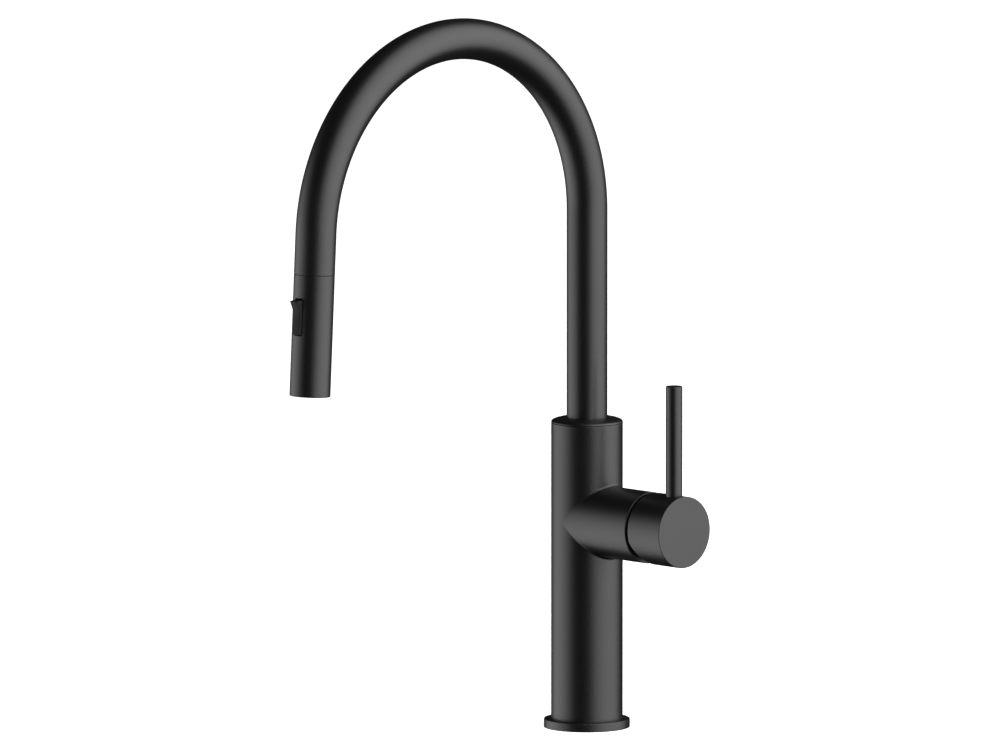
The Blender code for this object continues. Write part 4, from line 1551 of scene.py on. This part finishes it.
@dataclass
class LeverControl:
    """The cap over the cartridge, the straight pin in it, its grub screw and the stem that it turns."""

    edge: float = 0.4 * MM
    bore: float = 20.8 * MM
    relief_start: float = 7 * MM
    relief_angle: float = radians(22)
    web: float = 70 * MM
    end_wall: float = 83.8 * MM
    boss: float = 9 * MM
    square: float = 6.4 * MM
    screw_radius: float = 2.5 * MM
    thread_step: float = 0.13 * MM  # how close together the outline's points are on a thread
    radius: float = field(init=False)
    back: float = field(init=False)
    front: float = field(init=False)
    pin_x: float = field(init=False)
    pin_radius: float = field(init=False)
    height: float = field(init=False)

    def __post_init__(self) -> None:
        """Reads the cap's and the pin's sizes from the model."""
        low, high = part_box("lever_cap")
        pin_low, pin_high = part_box("lever_pin")
        self.height = joint("lever_turn")["pos_m"][2]
        self.radius, self.back, self.front = high.y, low.x, high.x
        self.pin_x, self.pin_radius = (pin_low.x + pin_high.x) / 2, (pin_high.x - pin_low.x) / 2

    def build(self) -> list[bpy.types.Object]:
        """Builds the lever's pieces and dresses the stem."""
        dress(STAINLESS, "cartridge_stem")
        return [self.cap(), self.pin(), self.grub_screw()]

    def lean(self, angle: float, radius: float, along: float) -> tuple[float, float]:
        """Leans the lower part of the cap's rear edge away from the branch, so that the cap can tilt.

        Args:
            angle: The point's angle from straight down.
            radius: Its distance from the axis.
            along: Its distance along the branch.

        Returns:
            The radius as it was, and the new distance along.
        """
        depth = self.front - 3.5 * MM - self.back
        share = max(0.0, 1 - (along - self.back) / depth)
        drop = max(0.0, radius * cos(angle) - self.relief_start)
        return radius, along + drop * tan(self.relief_angle) * min(1.0, share * 1.15)

    def cap(self) -> bpy.types.Object:
        """The cap: a cup with a boss for the stem, one for the pin and one for the grub screw."""
        outline = [
            Corner(0, self.front), Corner(self.radius, self.front, self.edge),
            Corner(self.radius, self.back, 0.3 * MM), Corner(self.bore, self.back, 0.2 * MM),
            Corner(self.bore, self.end_wall), Corner(self.boss, self.end_wall), Corner(self.boss, self.web),
            Corner(0, self.web),
        ]
        piece = turn("lever_cap_skin", soften(outline), straight(lever_frame()), 160, self.lean)
        pin_place = straight(Matrix.Translation((self.pin_x, 0, self.height)))
        screw_place = straight(Matrix.Translation((self.pin_x - 1.5 * MM, 0, self.height)))
        inside = self.bore + 0.15 * MM

        carve(piece, Carve.JOIN, turn("pin_boss", bar(7.8 * MM, 4 * MM, inside), pin_place, 64),
              turn("screw_boss", bar(5 * MM, -inside, -4 * MM), screw_place, 64))
        half = self.square / 2 + 0.2 * MM
        low, high = self.web - MM, self.front - 5.5 * MM
        socket = rounded_box("socket", (-half, -half, low), (half, half, high), 0.3 * MM, lever_frame())
        through = 30 * MM
        pin_hole = turn("pin_hole", bar(self.pin_radius + 0.02 * MM, 6.7 * MM, through), pin_place, 64)
        screw_hole = turn("screw_hole", bar(self.screw_radius + 0.1 * MM, -through, 0), screw_place, 64)
        carve(piece, Carve.CUT, pin_hole, screw_hole, socket)
        return mount(piece, Body.LEVER, Slot.COAT)

    def pin(self) -> bpy.types.Object:
        """The straight round pin, with a small rounding on its flat top."""
        low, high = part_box("lever_pin")
        outline = [
            Corner(0, low.z), Corner(self.pin_radius, low.z, 0.4 * MM), Corner(self.pin_radius, high.z, 0.4 * MM),
            Corner(0, high.z),
        ]
        piece = turn("lever_pin_skin", soften(outline), straight(Matrix.Translation((self.pin_x, 0, 0))), 96)
        return mount(piece, Body.LEVER, Slot.COAT)

    def grub_screw(self) -> bpy.types.Object:
        """The grub screw under the cap, threaded, with a hexagon socket."""
        low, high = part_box("grub_screw")
        place = Matrix.Translation(((low.x + high.x) / 2, 0, 0))
        radius = self.screw_radius
        depth = 0.4 * MM
        outline = refine([
            (radius - depth, low.z), (radius, low.z + depth), (radius, high.z - depth), (radius - depth, high.z),
        ], self.thread_step)
        wall = [point for point in outline if point[0] > radius - 0.41 * MM]
        top = max(range(len(wall)), key=lambda index: wall[index][1])
        cut = thread(radius, 0.8 * MM, depth, low.z + depth, high.z - depth)
        piece = turn("grub_screw_skin", [(0, low.z), *wall[:top + 1], (0, high.z)], straight(place), 48, cut)
        shade(piece, 60)
        key = turn("key", bar(1.45 * MM, low.z - MM, low.z + 3 * MM), straight(place), 6)
        return mount(carve(piece, Carve.CUT, key), Body.LEVER, Slot.STAINLESS)


@dataclass
class CartridgeSet:
    """The ceramic cartridge with its nut and trim ring, the valve block behind it and the supply pipes."""

    pipe_radius: float = 3.5 * MM
    pipe_bore: float = 2.6 * MM

    def build(self) -> list[bpy.types.Object]:
        """Builds the rings and the pipes, and dresses the pieces that stay inside."""
        dress(CARTRIDGE_PBT, "cartridge_base", "cartridge_housing", "disc_carrier", "cartridge_rotor")
        dress(CERAMIC, "fixed_disc", "moving_disc")
        dress(STAINLESS, "stem_pin")
        dress(TURNED_BRASS, "valve_block")
        return [self.nut(), self.trim(), *self.pipes()]

    def nut(self) -> bpy.types.Object:
        """The ring nut that holds the cartridge down."""
        outline = corners((13, 46.3, 0.3), (18.9, 46.3, 0.3), (18.9, 52.5, 0.3), (13, 52.5, 0.6))
        piece = turn("retaining_nut_skin", soften(outline, 3), straight(lever_frame()), 128)
        return mount(piece, Body.COLUMN, Slot.BRASS)

    def trim(self) -> bpy.types.Object:
        """The black ring that shows in the gap between the branch and the cap."""
        outline = corners((15.5, 52.8), (18.9, 52.8), (18.9, 56.4, 0.3), (17.5, 57.4, 0.3), (15.5, 57.4, 0.2))
        piece = turn("trim_ring_skin", soften(outline, 3), straight(lever_frame()), 128)
        return mount(piece, Body.COLUMN, Slot.TRIM)

    def pipes(self) -> list[bpy.types.Object]:
        """The three copper pipes that run down through the shank, each with a rolled bead near its end."""
        pieces = []
        for node in ("cold_inlet_pipe", "outlet_pipe", "hot_inlet_pipe"):
            low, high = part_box(node)
            centre = (low + high) / 2
            place = straight(Matrix.Translation((centre.x, centre.y, 0)))
            outer, bore, edge = self.pipe_radius, self.pipe_bore, 0.25 * MM
            outline = [
                Corner(bore, low.z, edge), Corner(outer, low.z, edge), Corner(outer, high.z, edge),
                Corner(bore, high.z, edge),
            ]
            piece = turn(node + "_skin", soften(outline, 3), place, 48)
            pieces.append(mount(piece, Body.COLUMN, Slot.COPPER))
        return pieces


@dataclass(frozen=True)
class Softbox:
    """A large soft light that fades from its middle to its rim, as cloth in front of a lamp does.

    Attributes:
        name: Its name.
        azimuth: Where it stands round the object, in degrees, as the camera's.
        elevation: How high it stands above the level of the target, in degrees.
        distance: How far it is from the target.
        width: Its width.
        height: Its height.
        power: Its power in watts.
    """

    name: str
    azimuth: float
    elevation: float
    distance: float
    width: float
    height: float
    power: float

    def place(self, target: Vector) -> bpy.types.Object:
        """Makes the light and points it at the target.

        Args:
            target: The point that it faces.

        Returns:
            The light's object.
        """
        lamp = bpy.data.lights.new(self.name, "AREA")
        lamp.shape = "RECTANGLE"
        lamp.size, lamp.size_y = self.width, self.height
        lamp.energy = self.power
        lamp.use_nodes = True
        tree = lamp.node_tree
        tree.nodes.clear()
        place = add_node(tree, "ShaderNodeNewGeometry").outputs["Parametric"]  # 0 to 1 across the light
        off = add_node(tree, "ShaderNodeVectorMath", {0: place, 1: (0.5, 0.5, 0.0)}, operation="DISTANCE")
        fade = spread(tree, off.outputs["Value"], 0.0, 0.5, 1.0, 0.0, interpolation_type="SMOOTHSTEP")
        glow = add_node(tree, "ShaderNodeEmission", {"Strength": fade})
        add_node(tree, "ShaderNodeOutputLight", {"Surface": glow.outputs[0]})
        made = bpy.data.objects.new(self.name, lamp)
        away = direction(self.azimuth, self.elevation)
        made.location = target + away * self.distance
        made.rotation_euler = away.to_track_quat("Z", "Y").to_euler()
        made.visible_camera = False
        bpy.context.scene.collection.objects.link(made)
        return made


def direction(azimuth: float, elevation: float) -> Vector:
    """The direction from the object towards a camera or light at these angles, in degrees."""
    turn_angle, rise = radians(azimuth), radians(elevation)
    return Vector((sin(turn_angle) * cos(rise), -cos(turn_angle) * cos(rise), sin(rise)))


@dataclass
class Studio:
    """The pale floor, the soft lights and the camera."""

    azimuth: float = 45.877
    elevation: float = 7.701
    lens: float = 1200.0  # millimetres; a long lens, for a view with hardly any perspective
    sensor: float = 36.0
    view_width: float = 0.62717
    aim: tuple[float, float] = (-0.05449, 0.2204)  # right of and above the origin, in the view's plane
    floor_radius: float = 30.0
    hole_radius: float = 17.5 * MM
    backdrop: str = "#ffffff"
    boxes: tuple[Softbox, ...] = (
        Softbox("right_softbox", 114, 22, 2.0, 9.4, 9.4, 970),
        Softbox("left_softbox", -50, -21, 2.0, 5.4, 5.6, 230),
    )

    def build(self) -> list[bpy.types.Object]:
        """Sets the stage."""
        self.world()
        self.camera()
        target = Vector((0, -0.1, 0.22))
        return [self.floor(), *(box.place(target) for box in self.boxes)]

    def camera(self) -> None:
        """Makes the camera and puts it in place."""
        back = direction(self.azimuth, self.elevation)
        right = Vector((cos(radians(self.azimuth)), sin(radians(self.azimuth)), 0))
        up = back.cross(right)
        lens = bpy.data.cameras.new("camera")
        lens.lens, lens.sensor_width = self.lens, self.sensor
        distance = self.view_width * self.lens / self.sensor
        lens.clip_start, lens.clip_end = 1.0, 200.0
        made = bpy.data.objects.new("camera", lens)
        made.location = right * self.aim[0] + up * self.aim[1] + back * distance
        made.rotation_euler = (-back).to_track_quat("-Z", "Y").to_euler()  # its -Z towards the object, its Y up
        bpy.context.scene.collection.objects.link(made)
        bpy.context.scene.camera = made

    def floor(self) -> bpy.types.Object:
        """The worktop: a pale sheet with the faucet's hole in it."""
        hole, rim = self.hole_radius, self.floor_radius
        thick = 0.4 * MM
        outline = [(hole, -thick), (rim, -thick), (rim, 0), (0.3, 0), (0.1, 0), (hole, 0)]
        made = turn("worktop", outline, sides=96)
        material, tree = empty_material("pale_worktop")
        glow = add_node(tree, "ShaderNodeEmission", {"Color": linear(self.backdrop), "Strength": 1.0})
        matt = add_node(tree, "ShaderNodeBsdfDiffuse", {"Color": linear("#e8e8e8")})
        both = add_node(tree, "ShaderNodeAddShader", {0: glow.outputs[0], 1: matt.outputs[0]})
        add_node(tree, "ShaderNodeOutputMaterial", {"Surface": both.outputs[0]})
        made.data.materials.append(material)
        made.visible_diffuse = False
        made.visible_glossy = False
        made.visible_shadow = False
        return made

    def world(self) -> None:
        """A white surround to the camera, and a dim one to the object."""
        world = bpy.data.worlds.new("studio")
        world.use_nodes = True
        tree = world.node_tree
        tree.nodes.clear()
        seen = add_node(tree, "ShaderNodeLightPath").outputs["Is Camera Ray"]
        white = add_node(tree, "ShaderNodeBackground", {"Color": linear(self.backdrop), "Strength": 1.0})
        dim = add_node(tree, "ShaderNodeBackground", {"Color": linear(self.backdrop), "Strength": 0.022})
        mixed = add_node(tree, "ShaderNodeMixShader", {0: seen, 1: dim.outputs[0], 2: white.outputs[0]})
        add_node(tree, "ShaderNodeOutputWorld", {"Surface": mixed.outputs[0]})
        scene = bpy.context.scene
        scene.world = world
        scene.view_settings.view_transform = "Standard"


def main() -> None:
    """Builds the studio and every sub-assembly, and reports each piece."""
    logging.basicConfig(level=logging.INFO, format="%(name)s: %(message)s")
    spout = SpoutTube()
    assemblies: list[Assembly] = [
        Studio(), DeckFixing(), BodyCasting(), CartridgeSet(), LeverControl(),
        spout, SprayHose(spout), SprayHead(),
    ]
    for assembly in assemblies:
        for piece in assembly.build():
            count = len(piece.data.polygons) if piece.type == "MESH" else 0
            log.info("%s: %s, %d faces", type(assembly).__name__, piece.name, count)


if __name__ == "__main__":
    main()
